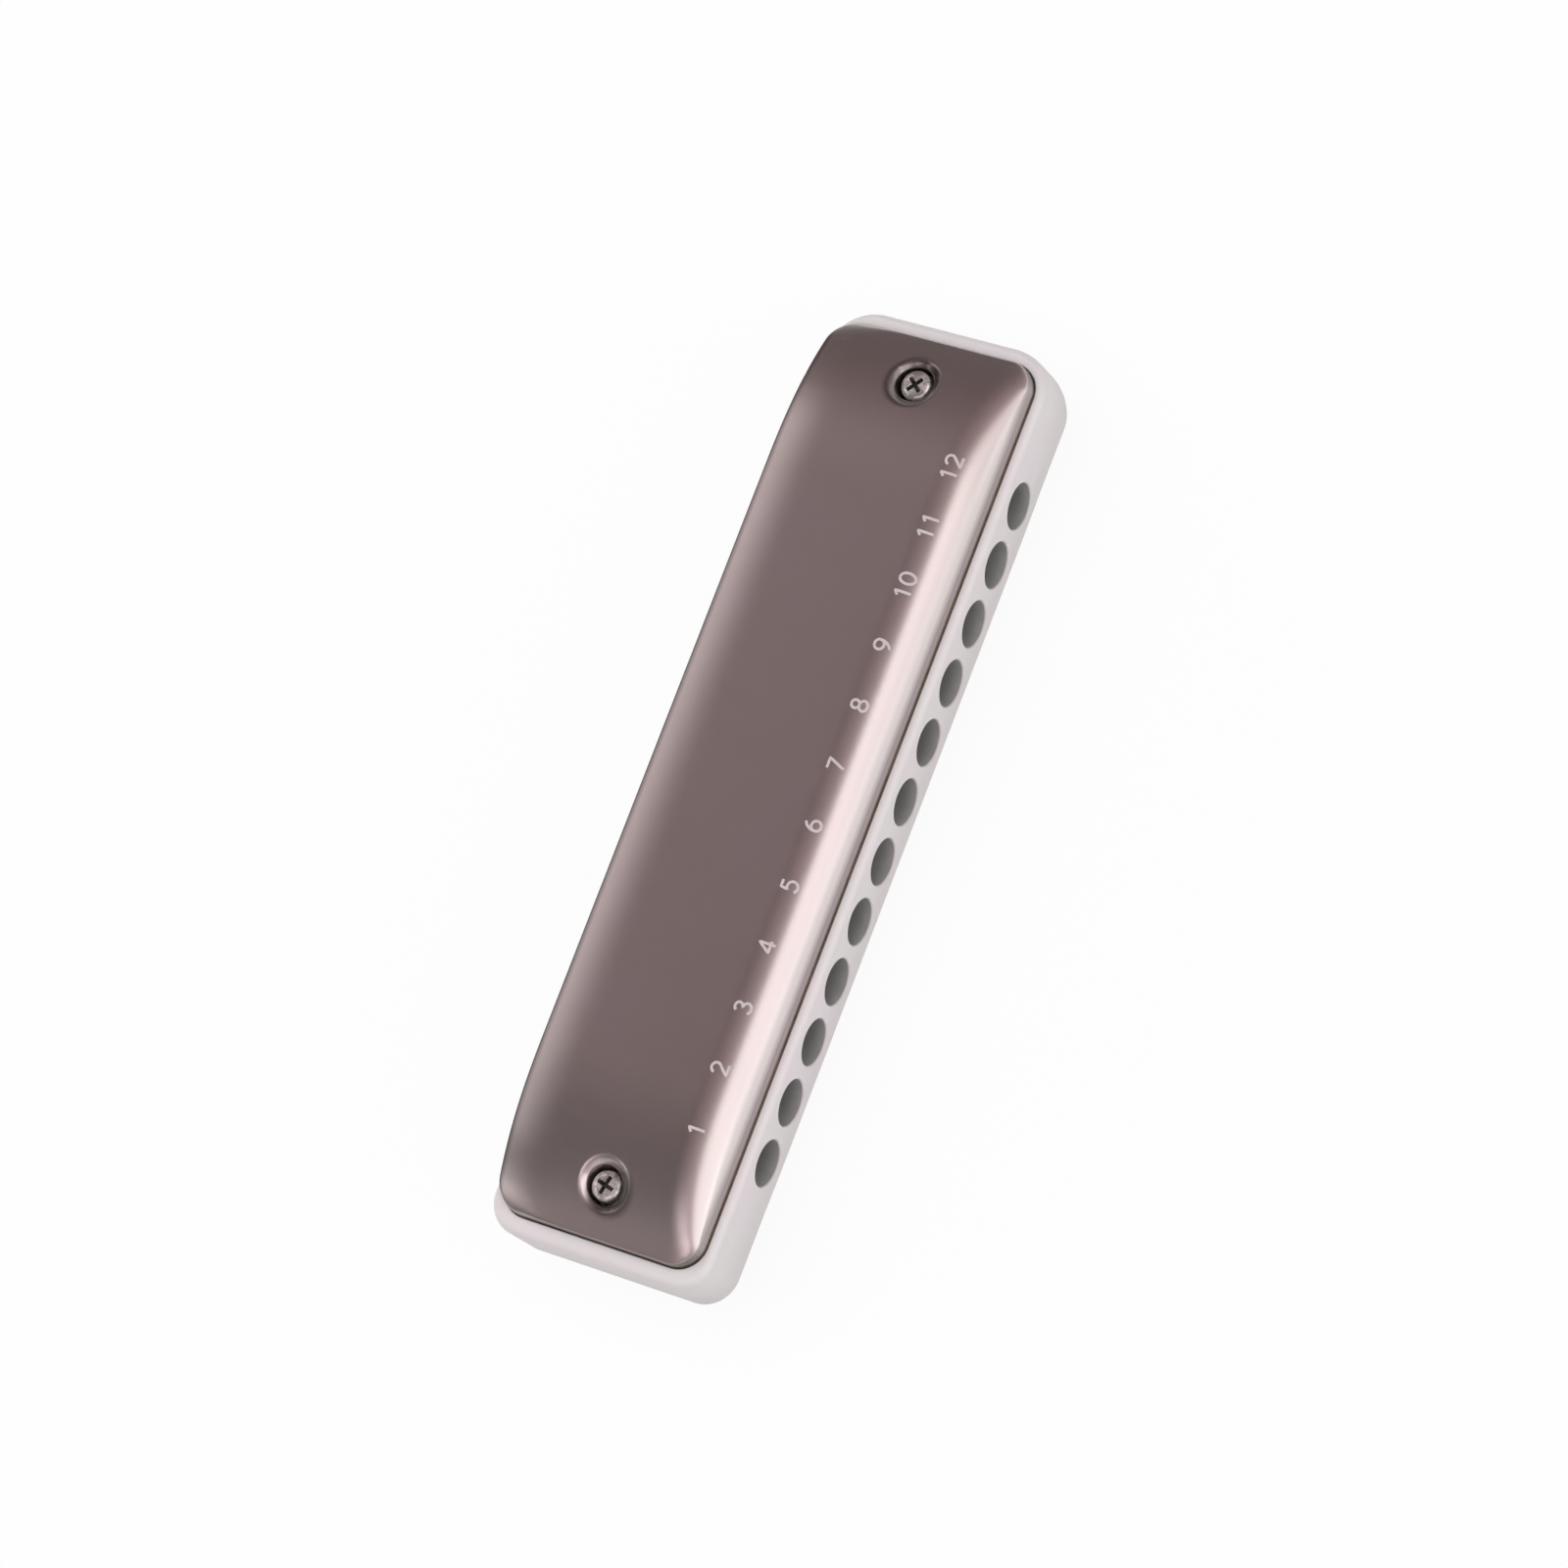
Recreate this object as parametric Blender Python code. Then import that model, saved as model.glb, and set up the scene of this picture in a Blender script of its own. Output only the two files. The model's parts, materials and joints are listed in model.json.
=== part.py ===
"""Twelve-hole diatonic harmonica with a one-piece comb, pressed covers and free reeds.

X runs from hole 1 to hole 12, the mouth side faces -Y and +Z is up.
The origin lies under the middle of the lower cover's flat face.
"""
import math

import bmesh
import bpy
from mathutils import Matrix, Vector

MM = 0.001

# Mouth holes and comb
HOLE_COUNT = 12
HOLE_PITCH = 7.5 * MM
HOLE_DIAMETER = 5.7 * MM
HOLE_ROOF = 0.55 * MM  # comb left between a mouth hole and the plate seat
END_BLOCK = 17.5 * MM  # last hole centre to the end of the comb
COMB_DEPTH = 29.5 * MM
COMB_CORNER = 5.0 * MM
COMB_EDGE = 1.0 * MM
RIM_LONG = 1.15 * MM  # rim along the mouth and the back
RIM_END = 2.1 * MM
RIM_LIP = 0.2 * MM  # height of the rim above the plate
CHAMBER_WALL = 2.1 * MM
MOUTH_WALL = 5.5 * MM
BACK_WALL = 5.0 * MM

# Gaps between neighbouring pieces
SEAT_GAP = 0.1 * MM
SIDE_GAP = 0.15 * MM
SHANK_GAP = 0.1 * MM
REED_GAP = 0.2 * MM
SLOT_GAP = 0.2 * MM

# Reed plates, reeds and rivets
PLATE_THICKNESS = 0.9 * MM
REED_THICKNESS = 0.3 * MM
REED_GRIND = 0.1 * MM  # ground off the middle of each tongue
REED_WIDTH = 2.1 * MM
REED_TIP_WIDTH = 1.9 * MM
PAD_WIDTH = 2.8 * MM
PAD_LENGTH = 3.2 * MM
PAD_MARGIN = 0.5 * MM  # pad to the near end of its chamber
TIP_MARGIN = 0.6 * MM  # slot to the far end of its chamber
SHORT_REED_SHARE = 0.56  # shortest tongue as a share of the longest
RIVET_DIAMETER = 1.0 * MM
RIVET_HEAD = 1.7 * MM
RIVET_HEAD_HEIGHT = 0.4 * MM

# Covers
COVER_HEIGHT = 5.9 * MM  # above the reed plate
SHEET = 0.5 * MM
SKIRT = 1.5 * MM  # upright edge around the foot of the cover
FRONT_ROLL = 5.5 * MM  # depth of the rolled mouth side
ROLL_END = 0.5  # share of that depth left at each end
BACK_DROOP = 0.5 * MM
BACK_DROOP_DEPTH = 6.0 * MM
BACK_LIP = 1.0 * MM  # turned down along the open back
END_SLOPE = 20.5 * MM  # length of the slope at each end
END_POWER = 2.5
COVER_CORNER = 3.5 * MM

# Cover screws, nuts and their pockets
SCREW_INSET = 6.2 * MM  # end of the cover to the screw axis
SCREW_DIAMETER = 2.0 * MM
SCREW_HEAD = 3.9 * MM
SCREW_HEAD_HEIGHT = 2.4 * MM
DRIVE_WIDTH = 2.3 * MM
DRIVE_SLOT = 0.5 * MM
DRIVE_DEPTH = 0.8 * MM
POCKET_GAP = 0.3 * MM
DIMPLE_FLARE = 1.0 * MM
DIMPLE_DEPTH = 1.0 * MM
NUT_DIAMETER = 3.9 * MM
NUT_HEIGHT = 1.6 * MM
NUT_SLOT = 0.7 * MM

# Reed plate screws
PLATE_SCREW_DIAMETER = 1.6 * MM
PLATE_SCREW_HEAD = 2.6 * MM
PLATE_SCREW_HEAD_HEIGHT = 0.8 * MM
PLATE_SCREW_INSET = 6.0 * MM  # from the last hole centre along the comb
PLATE_SCREW_FRONT = 6.75 * MM  # behind the mouth face

# Heights, measured from the middle of the comb
half_core = HOLE_DIAMETER / 2 + HOLE_ROOF
plate_inner = half_core + SEAT_GAP
plate_outer = plate_inner + PLATE_THICKNESS
rim_top = plate_outer + RIM_LIP
cover_seat = plate_outer + SEAT_GAP
half_height = cover_seat + COVER_HEIGHT
middle = Matrix.Translation((0, 0, half_height))
turned_over = middle @ Matrix.Rotation(math.pi, 4, "Y")

# Plan sizes
hole_span = (HOLE_COUNT - 1) * HOLE_PITCH
comb_length = hole_span + 2 * END_BLOCK
recess_length = comb_length - 2 * RIM_END
recess_depth = COMB_DEPTH - 2 * RIM_LONG
cover_length = recess_length - 2 * SIDE_GAP
cover_depth = recess_depth - 2 * SIDE_GAP
chamber_width = HOLE_PITCH - CHAMBER_WALL
chamber_front = -COMB_DEPTH / 2 + MOUTH_WALL
chamber_back = COMB_DEPTH / 2 - BACK_WALL
hole_places = [i * HOLE_PITCH - hole_span / 2 for i in range(HOLE_COUNT)]

# Reed lengths shrink by the same ratio from each hole to the next
longest_tongue = chamber_back - chamber_front - PAD_MARGIN - PAD_LENGTH - TIP_MARGIN - SLOT_GAP
step_ratio = SHORT_REED_SHARE ** (1 / (HOLE_COUNT - 1))
tongue_lengths = [longest_tongue * step_ratio ** i for i in range(HOLE_COUNT)]
blow_hinge = chamber_back - PAD_MARGIN - PAD_LENGTH / 2
draw_hinge = chamber_front + PAD_MARGIN + PAD_LENGTH / 2

# Fasteners
screw_x = cover_length / 2 - SCREW_INSET
screw_places = [(-screw_x, 0), (screw_x, 0)]
plate_screw_x = hole_span / 2 + PLATE_SCREW_INSET
plate_screw_back = (chamber_back + recess_depth / 2) / 2
plate_screw_places = [
    (-plate_screw_x, PLATE_SCREW_FRONT - COMB_DEPTH / 2),
    (plate_screw_x, PLATE_SCREW_FRONT - COMB_DEPTH / 2),
    (0, plate_screw_back),
]
screw_bore = SCREW_DIAMETER / 2 + SHANK_GAP
plate_screw_bore = PLATE_SCREW_DIAMETER / 2 + SHANK_GAP
rivet_bore = RIVET_DIAMETER / 2 + SHANK_GAP
pocket_radius = SCREW_HEAD / 2 + POCKET_GAP
pocket_floor = cover_seat + SHEET


def clear_scene():
    for thing in list(bpy.data.objects):
        bpy.data.objects.remove(thing, do_unlink=True)


def make_material(name, colour, roughness, metallic):
    material = bpy.data.materials.new(name)
    material.use_nodes = True
    shader = material.node_tree.nodes["Principled BSDF"]
    shader.inputs["Base Color"].default_value = (*colour, 1)
    shader.inputs["Roughness"].default_value = roughness
    shader.inputs["Metallic"].default_value = metallic
    return material


def make_mesh(name, shape, smooth=False):
    bmesh.ops.recalc_face_normals(shape, faces=shape.faces)
    mesh = bpy.data.meshes.new(name)
    shape.to_mesh(mesh)
    shape.free()
    if smooth:
        mesh.shade_smooth()
        mesh.set_sharp_from_angle(angle=math.radians(35))
    return mesh


def add_object(name, mesh, material, matrix):
    thing = bpy.data.objects.new(name, mesh)
    if material and not mesh.materials:
        mesh.materials.append(material)
    thing.matrix_world = matrix
    bpy.context.scene.collection.objects.link(thing)
    return thing


def join_with(thing, name, shape, operation="DIFFERENCE"):
    tool = add_object(name, make_mesh(name, shape), None, thing.matrix_world.copy())
    tool.hide_render = True
    tool.display_type = "WIRE"
    step = thing.modifiers.new(name, "BOOLEAN")
    step.operation = operation
    step.solver = "EXACT"
    step.object = tool


def rounded_outline(length, depth, radius, steps):
    points = []
    corners = [(1, 1, 0), (-1, 1, 90), (-1, -1, 180), (1, -1, 270)]
    for side_x, side_y, start in corners:
        centre_x = side_x * (length / 2 - radius)
        centre_y = side_y * (depth / 2 - radius)
        for k in range(steps + 1):
            angle = math.radians(start + 90 * k / steps)
            points.append((centre_x + radius * math.cos(angle), centre_y + radius * math.sin(angle)))
    return points


def add_prism(shape, outline, low, high):
    corners = [shape.verts.new((x, y, low)) for x, y in outline]
    base = shape.faces.new(corners)
    grown = bmesh.ops.extrude_face_region(shape, geom=[base])["geom"]
    top = [item for item in grown if isinstance(item, bmesh.types.BMVert)]
    bmesh.ops.translate(shape, verts=top, vec=(0, 0, high - low))
    return corners, top


def add_box(shape, low, high):
    size = Vector(high) - Vector(low)
    place = Matrix.Translation((Vector(high) + Vector(low)) / 2)
    bmesh.ops.create_cube(shape, size=1, matrix=place @ Matrix.Diagonal((*size, 1)))


def add_pin(shape, place, radius, low, high, segments):
    centre = Matrix.Translation((place[0], place[1], (low + high) / 2))
    bmesh.ops.create_cone(
        shape, cap_ends=True, segments=segments,
        radius1=radius, radius2=radius, depth=high - low, matrix=centre)


def turned_shape(profile, steps):
    shape = bmesh.new()
    points = [shape.verts.new((radius, 0, height)) for radius, height in profile]
    edges = [shape.edges.new(pair) for pair in zip(points, points[1:])]
    bmesh.ops.spin(
        shape, geom=points + edges, cent=(0, 0, 0), axis=(0, 0, 1),
        angle=2 * math.pi, steps=steps, use_merge=True)
    bmesh.ops.remove_doubles(shape, verts=shape.verts, dist=0.0001 * MM)
    return shape


def add_screw_bores(shape, reach):
    for place in screw_places:
        add_pin(shape, place, screw_bore, -reach, reach, 16)
    for place in plate_screw_places:
        add_pin(shape, place, plate_screw_bore, -reach, reach, 12)


def build_comb(material):
    shape = bmesh.new()
    outline = rounded_outline(comb_length, COMB_DEPTH, COMB_CORNER, 6)
    low, high = add_prism(shape, outline, -rim_top, rim_top)
    edges = [e for e in shape.edges if (e.verts[0] in low) == (e.verts[1] in low)]
    bmesh.ops.bevel(
        shape, geom=edges, offset=COMB_EDGE, segments=3, profile=0.5,
        affect="EDGES", material=-1)
    comb = add_object("comb", make_mesh("comb", shape, True), material, middle)

    seats = bmesh.new()
    seat = rounded_outline(recess_length, recess_depth, COVER_CORNER + SIDE_GAP, 5)
    add_prism(seats, seat, half_core, 2 * rim_top)
    add_prism(seats, seat, -2 * rim_top, -half_core)
    join_with(comb, "plate_seats", seats)

    chambers = bmesh.new()
    for x in hole_places:
        low = (x - chamber_width / 2, chamber_front, -2 * rim_top)
        high = (x + chamber_width / 2, chamber_back, 2 * rim_top)
        add_box(chambers, low, high)
    join_with(comb, "chambers", chambers)

    bores = bmesh.new()
    reach = MOUTH_WALL + 2 * COMB_EDGE
    for x in hole_places:
        place = Matrix.Translation((x, chamber_front + COMB_EDGE - reach / 2, 0))
        bmesh.ops.create_cone(
            bores, cap_ends=True, segments=24, radius1=HOLE_DIAMETER / 2,
            radius2=HOLE_DIAMETER / 2, depth=reach, matrix=place @ Matrix.Rotation(math.pi / 2, 4, "X"))
    join_with(comb, "mouth_bores", bores)

    holes = bmesh.new()
    add_screw_bores(holes, 2 * rim_top)
    join_with(comb, "comb_screw_bores", holes)


def build_plate(name, hinge, way, low, material):
    shape = bmesh.new()
    outline = rounded_outline(cover_length, cover_depth, COVER_CORNER, 5)
    add_prism(shape, outline, low, low + PLATE_THICKNESS)
    plate = add_object(name, make_mesh(name, shape), material, middle)

    slots = bmesh.new()
    for x, tongue in zip(hole_places, tongue_lengths):
        root = hinge + way * PAD_LENGTH / 2
        tip = root + way * (tongue + SLOT_GAP)
        half = REED_WIDTH / 2 + SLOT_GAP
        near = (x - half, min(root, tip), low - PLATE_THICKNESS)
        far = (x + half, max(root, tip), low + 2 * PLATE_THICKNESS)
        add_box(slots, near, far)
    join_with(plate, name + "_slots", slots)

    holes = bmesh.new()
    for x in hole_places:
        add_pin(holes, (x, hinge), rivet_bore, low - PLATE_THICKNESS, low + 2 * PLATE_THICKNESS, 8)
    add_screw_bores(holes, 2 * rim_top)
    join_with(plate, name + "_holes", holes)


def reed_mesh(number, tongue):
    pad = PAD_LENGTH / 2
    chamfer = PAD_WIDTH / 7
    right = [
        (PAD_WIDTH / 2 - chamfer, -pad),
        (PAD_WIDTH / 2, chamfer - pad),
        (PAD_WIDTH / 2, pad - chamfer),
        (REED_WIDTH / 2, pad),
        (REED_TIP_WIDTH / 2, pad + tongue),
    ]
    left = [(-x, y) for x, y in reversed(right)]
    shape = bmesh.new()
    add_prism(shape, right + left, -REED_THICKNESS / 2, REED_THICKNESS / 2)
    for share in (0.25, 0.75):
        everything = shape.verts[:] + shape.edges[:] + shape.faces[:]
        bmesh.ops.bisect_plane(
            shape, geom=everything, dist=0.0001 * MM,
            plane_co=(0, pad + share * tongue, 0), plane_no=(0, 1, 0))
    for vert in shape.verts:
        share = (vert.co.y - pad) / tongue
        if vert.co.z < 0 and 0.2 < share < 0.8:
            vert.co.z += REED_GRIND
    return make_mesh("reed_%02d" % number, shape)


def build_reeds(prefix, hinge, way, plate_low, meshes, material):
    height = plate_low - REED_GAP - REED_THICKNESS / 2
    turn = Matrix.Rotation(0 if way > 0 else math.pi, 4, "Z")
    for number, x in enumerate(hole_places, 1):
        place = middle @ Matrix.Translation((x, hinge, height)) @ turn
        reed = add_object("%s_reed_%02d" % (prefix, number), meshes[number - 1], material, place)
        bore = bmesh.new()
        add_pin(bore, (0, 0), rivet_bore, -REED_THICKNESS, REED_THICKNESS, 8)
        join_with(reed, "%s_reed_bore_%02d" % (prefix, number), bore)


def rivet_mesh():
    under = -REED_THICKNESS / 2 - SEAT_GAP
    over = REED_THICKNESS / 2 + REED_GAP + PLATE_THICKNESS + SEAT_GAP
    head = RIVET_HEAD / 2
    shaft = RIVET_DIAMETER / 2
    profile = [
        (0, under - RIVET_HEAD_HEIGHT),
        (head * 0.7, under - RIVET_HEAD_HEIGHT),
        (head, under),
        (shaft, under),
        (shaft, over),
        (head * 0.9, over),
        (head * 0.6, over + RIVET_HEAD_HEIGHT * 0.75),
        (0, over + RIVET_HEAD_HEIGHT * 0.75),
    ]
    return make_mesh("rivet", turned_shape(profile, 8), True)


def build_rivets(prefix, hinge, plate_low, mesh, material):
    height = plate_low - REED_GAP - REED_THICKNESS / 2
    for number, x in enumerate(hole_places, 1):
        place = middle @ Matrix.Translation((x, hinge, height))
        add_object("%s_rivet_%02d" % (prefix, number), mesh, material, place)


def end_share(x):
    along = (abs(x) - cover_length / 2 + END_SLOPE) / END_SLOPE
    return 1 - max(along, 0) ** END_POWER


def cover_top(x):
    return cover_seat + SKIRT + (COVER_HEIGHT - SKIRT) * end_share(x)


def cover_stations():
    half = cover_length / 2
    slope = [half - END_SLOPE + k / 6 * (END_SLOPE - COVER_CORNER) for k in range(6)]
    angles = [math.pi / 2 * k / 5 for k in range(6)]
    corner = [half - COVER_CORNER + COVER_CORNER * math.sin(angle) for angle in angles]
    side = slope + corner
    return [-x for x in reversed(side)] + side


def cover_section(x):
    over = max(abs(x) - cover_length / 2 + COVER_CORNER, 0)
    inset = COVER_CORNER - math.sqrt(max(COVER_CORNER ** 2 - over ** 2, 0))
    front = inset - cover_depth / 2
    back = cover_depth / 2 - inset
    share = end_share(x)
    rise = (COVER_HEIGHT - SKIRT) * share
    roll = FRONT_ROLL * (ROLL_END + (1 - ROLL_END) * share)
    points = [(front, 0)]
    for k in range(8):
        angle = math.pi / 2 * k / 7
        points.append((front + roll * (1 - math.cos(angle)), SKIRT + rise * math.sin(angle)))
    for k in range(5):
        part = k / 4
        points.append((back - BACK_DROOP_DEPTH * (1 - part), SKIRT + rise - BACK_DROOP * share * part ** 2))
    lip = BACK_LIP + max(SKIRT - BACK_LIP, 0) * (1 - share)  # deep enough to meet the plate at the ends
    points.append((back, max(points[-1][1] - lip, 0)))
    return points


def cover_skin():
    shape = bmesh.new()
    rows = []
    for x in cover_stations():
        rows.append([shape.verts.new((x, y, cover_seat + z)) for y, z in cover_section(x)])
    for row, following in zip(rows, rows[1:]):
        for k in range(len(row) - 1):
            shape.faces.new((row[k], following[k], following[k + 1], row[k + 1]))
    for row in (rows[0], rows[-1]):
        top = row[1:-1]
        edges = [shape.edges.get(pair) for pair in zip(top, top[1:])]
        grown = bmesh.ops.extrude_edge_only(shape, edges=edges)["geom"]
        for item in grown:
            if isinstance(item, bmesh.types.BMVert):
                item.co.z = cover_seat
    bmesh.ops.remove_doubles(shape, verts=shape.verts, dist=0.001 * MM)
    return shape


def pocket_frames():
    for x, y in screw_places:
        reach = SCREW_INSET / 4
        slope = (cover_top(x + reach) - cover_top(x - reach)) / (2 * reach)
        up = Vector((-slope, 0, 1)).normalized()
        tilt = Vector((0, 0, 1)).rotation_difference(up).to_matrix().to_4x4()
        yield x, y, slope, Matrix.Translation((x, y, cover_top(x))) @ tilt


def add_flare(shape, frame, top, top_radius, bottom, bottom_radius):
    place = frame @ Matrix.Translation((0, 0, (top + bottom) / 2))
    bmesh.ops.create_cone(
        shape, cap_ends=True, segments=20, radius1=bottom_radius,
        radius2=top_radius, depth=top - bottom, matrix=place)


def build_cover(name, matrix, material):
    skin = make_mesh(name, cover_skin(), True)
    cover = add_object(name, skin, material, matrix)
    sheet = cover.modifiers.new("sheet", "SOLIDIFY")
    sheet.thickness = SHEET
    sheet.offset = -1
    sheet.use_even_offset = True
    sheet.use_quality_normals = True

    posts = bmesh.new()
    collars = bmesh.new()
    dimples = bmesh.new()
    pockets = bmesh.new()
    bores = bmesh.new()
    flare = DIMPLE_FLARE / DIMPLE_DEPTH
    for x, y, slope, frame in pocket_frames():
        before = set(posts.verts)
        add_pin(posts, (x, y), pocket_radius + SHEET, cover_seat, cover_top(x), 20)
        for vert in set(posts.verts) - before:
            if vert.co.z > cover_seat + SHEET / 2:
                vert.co.z += slope * (vert.co.x - x) - SHEET / 2
        wide = pocket_radius + DIMPLE_FLARE + SHEET
        narrow = pocket_radius + SHEET * 0.8
        add_flare(collars, frame, -SHEET / 2, wide, -DIMPLE_DEPTH - SHEET, narrow)
        lift = DIMPLE_DEPTH / 2
        mouth = pocket_radius + flare * (DIMPLE_DEPTH + lift)
        add_flare(dimples, frame, lift, mouth, -DIMPLE_DEPTH, pocket_radius)
        add_pin(pockets, (x, y), pocket_radius, pocket_floor, half_height, 20)
        add_pin(bores, (x, y), screw_bore, cover_seat - SHEET, pocket_floor + SHEET, 16)
    join_with(cover, name + "_posts", posts, "UNION")
    join_with(cover, name + "_collars", collars, "UNION")
    join_with(cover, name + "_dimples", dimples)
    join_with(cover, name + "_pockets", pockets)
    join_with(cover, name + "_bores", bores)


def build_cover_screws(material):
    seat = pocket_floor + SEAT_GAP
    top = seat + SCREW_HEAD_HEIGHT
    tip = -seat - NUT_HEIGHT + 2 * SEAT_GAP
    head = SCREW_HEAD / 2
    shaft = SCREW_DIAMETER / 2
    edge = SCREW_HEAD_HEIGHT / 6
    profile = [
        (0, tip),
        (shaft - edge, tip),
        (shaft, tip + edge),
        (shaft, seat),
        (head, seat),
        (head, top - edge),
        (head - edge, top),
        (0, top),
    ]
    mesh = make_mesh("cover_screw", turned_shape(profile, 20), True)
    for side, place in zip(("left", "right"), screw_places):
        screw = add_object("cover_screw_" + side, mesh, material, middle @ Matrix.Translation((*place, 0)))
        drive = bmesh.new()
        long = DRIVE_WIDTH / 2
        thin = DRIVE_SLOT / 2
        add_box(drive, (-long, -thin, top - DRIVE_DEPTH), (long, thin, top + DRIVE_DEPTH))
        join_with(screw, "cover_screw_drive_a_" + side, drive)
        drive = bmesh.new()
        add_box(drive, (-thin, -long, top - DRIVE_DEPTH), (thin, long, top + DRIVE_DEPTH))
        join_with(screw, "cover_screw_drive_b_" + side, drive)


def build_cover_nuts(material):
    inner = -pocket_floor - SEAT_GAP
    outer = inner - NUT_HEIGHT
    bore = SCREW_DIAMETER / 2 + SHANK_GAP
    rim = NUT_DIAMETER / 2
    edge = NUT_HEIGHT / 6
    profile = [
        (bore, outer),
        (rim - edge, outer),
        (rim, outer + edge),
        (rim, inner),
        (bore, inner),
        (bore, outer),
    ]
    mesh = make_mesh("cover_nut", turned_shape(profile, 20), True)
    for side, place in zip(("left", "right"), screw_places):
        nut = add_object("cover_nut_" + side, mesh, material, middle @ Matrix.Translation((*place, 0)))
        slot = bmesh.new()
        near = (-NUT_SLOT / 2, -NUT_DIAMETER, outer - NUT_HEIGHT)
        far = (NUT_SLOT / 2, NUT_DIAMETER, outer + NUT_HEIGHT / 3)
        add_box(slot, near, far)
        join_with(nut, "cover_nut_slot_" + side, slot)


def build_plate_screws(material):
    seat = plate_outer + SEAT_GAP
    top = seat + PLATE_SCREW_HEAD_HEIGHT
    head = PLATE_SCREW_HEAD / 2
    shaft = PLATE_SCREW_DIAMETER / 2
    edge = PLATE_SCREW_HEAD_HEIGHT / 3
    profile = [
        (0, -plate_outer),
        (shaft, -plate_outer),
        (shaft, seat),
        (head, seat),
        (head, top - edge),
        (head - edge, top),
        (0, top),
    ]
    mesh = make_mesh("plate_screw", turned_shape(profile, 12), True)
    for side, place in zip(("left", "right", "back"), plate_screw_places):
        screw = add_object("plate_screw_" + side, mesh, material, middle @ Matrix.Translation((*place, 0)))
        slot = bmesh.new()
        low = (-head * 2, -DRIVE_SLOT / 2, top - PLATE_SCREW_HEAD_HEIGHT / 2)
        add_box(slot, low, (head * 2, DRIVE_SLOT / 2, top + PLATE_SCREW_HEAD_HEIGHT))
        join_with(screw, "plate_screw_slot_" + side, slot)


def build():
    clear_scene()
    pale = make_material("comb_pale", (0.74, 0.71, 0.72), 0.5, 0.0)
    satin = make_material("cover_satin", (0.2, 0.17, 0.17), 0.35, 1.0)
    brass = make_material("plate_brass", (0.72, 0.52, 0.22), 0.35, 1.0)
    spring = make_material("reed_brass", (0.8, 0.62, 0.3), 0.25, 1.0)
    rivet_brass = make_material("rivet_brass", (0.66, 0.46, 0.2), 0.3, 1.0)
    nickel = make_material("screw_nickel", (0.7, 0.69, 0.67), 0.2, 1.0)

    build_comb(pale)
    build_plate("blow_reed_plate", blow_hinge, -1, plate_inner, brass)
    build_plate("draw_reed_plate", draw_hinge, 1, -plate_outer, brass)
    meshes = [reed_mesh(i + 1, tongue) for i, tongue in enumerate(tongue_lengths)]
    build_reeds("blow", blow_hinge, -1, plate_inner, meshes, spring)
    build_reeds("draw", draw_hinge, 1, -plate_outer, meshes, spring)
    rivet = rivet_mesh()
    build_rivets("blow", blow_hinge, plate_inner, rivet, rivet_brass)
    build_rivets("draw", draw_hinge, -plate_outer, rivet, rivet_brass)
    build_cover("upper_cover", middle, satin)
    build_cover("lower_cover", turned_over, satin)
    build_cover_screws(nickel)
    build_cover_nuts(nickel)
    build_plate_screws(nickel)


build()
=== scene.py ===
import json
import math

import bmesh
import bpy
from mathutils import Matrix, Quaternion, Vector


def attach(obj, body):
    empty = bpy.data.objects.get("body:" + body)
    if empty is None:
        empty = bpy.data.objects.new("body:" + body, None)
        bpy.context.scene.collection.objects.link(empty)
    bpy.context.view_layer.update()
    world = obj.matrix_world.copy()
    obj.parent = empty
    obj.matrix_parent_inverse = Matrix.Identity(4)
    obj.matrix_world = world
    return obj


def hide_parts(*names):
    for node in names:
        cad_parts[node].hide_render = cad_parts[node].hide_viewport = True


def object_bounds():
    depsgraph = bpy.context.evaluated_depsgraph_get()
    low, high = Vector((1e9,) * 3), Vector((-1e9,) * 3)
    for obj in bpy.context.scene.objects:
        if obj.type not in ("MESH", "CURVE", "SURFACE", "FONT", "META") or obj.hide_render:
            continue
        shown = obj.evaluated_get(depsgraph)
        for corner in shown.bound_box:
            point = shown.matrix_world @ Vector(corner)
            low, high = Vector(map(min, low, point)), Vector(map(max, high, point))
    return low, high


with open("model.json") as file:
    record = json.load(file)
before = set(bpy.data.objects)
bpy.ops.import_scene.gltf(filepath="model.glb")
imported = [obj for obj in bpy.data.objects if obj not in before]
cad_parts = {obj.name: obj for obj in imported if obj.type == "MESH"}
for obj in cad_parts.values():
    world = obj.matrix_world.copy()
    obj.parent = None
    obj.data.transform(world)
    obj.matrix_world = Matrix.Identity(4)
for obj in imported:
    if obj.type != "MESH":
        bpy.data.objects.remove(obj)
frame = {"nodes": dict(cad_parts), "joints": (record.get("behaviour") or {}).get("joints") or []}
cadLow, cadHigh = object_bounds()
scene = bpy.context.scene
scene.view_settings.view_transform = "Standard"

mm = 0.001  # pieces are modelled in millimetres and scaled to metres when they are finished
weldGap = 0.0005  # vertices closer than this become one
nearGap = 0.01  # slack where edges and faces are picked by their place
overrun = 1  # a cutting tool runs this far past the surface
wholeBody = "harmonica_body"
combMiddle = (cadLow.z + cadHigh.z) / 2 / mm
holePlaces = [joint["pos_m"][0] / mm for joint in frame["joints"] if joint["name"].startswith("blow")]
print("frame loaded:", len(frame["nodes"]), "nodes,", len(holePlaces), "holes")


# shared shaping tools

def spread(start, end, steps):
    return [start + (end - start) * k / steps for k in range(1, steps + 1)]


def spreadRuns(ends, cells):
    runs = zip(ends, ends[1:], cells)
    return [place for start, end, steps in runs for place in spread(start, end, steps)]


def softStep(low, high, value):
    share = min(max((value - low) / (high - low), 0), 1)
    return share * share * (3 - 2 * share)


def isLevel(edge):
    return abs(edge.verts[0].co.z - edge.verts[1].co.z) < nearGap


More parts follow.
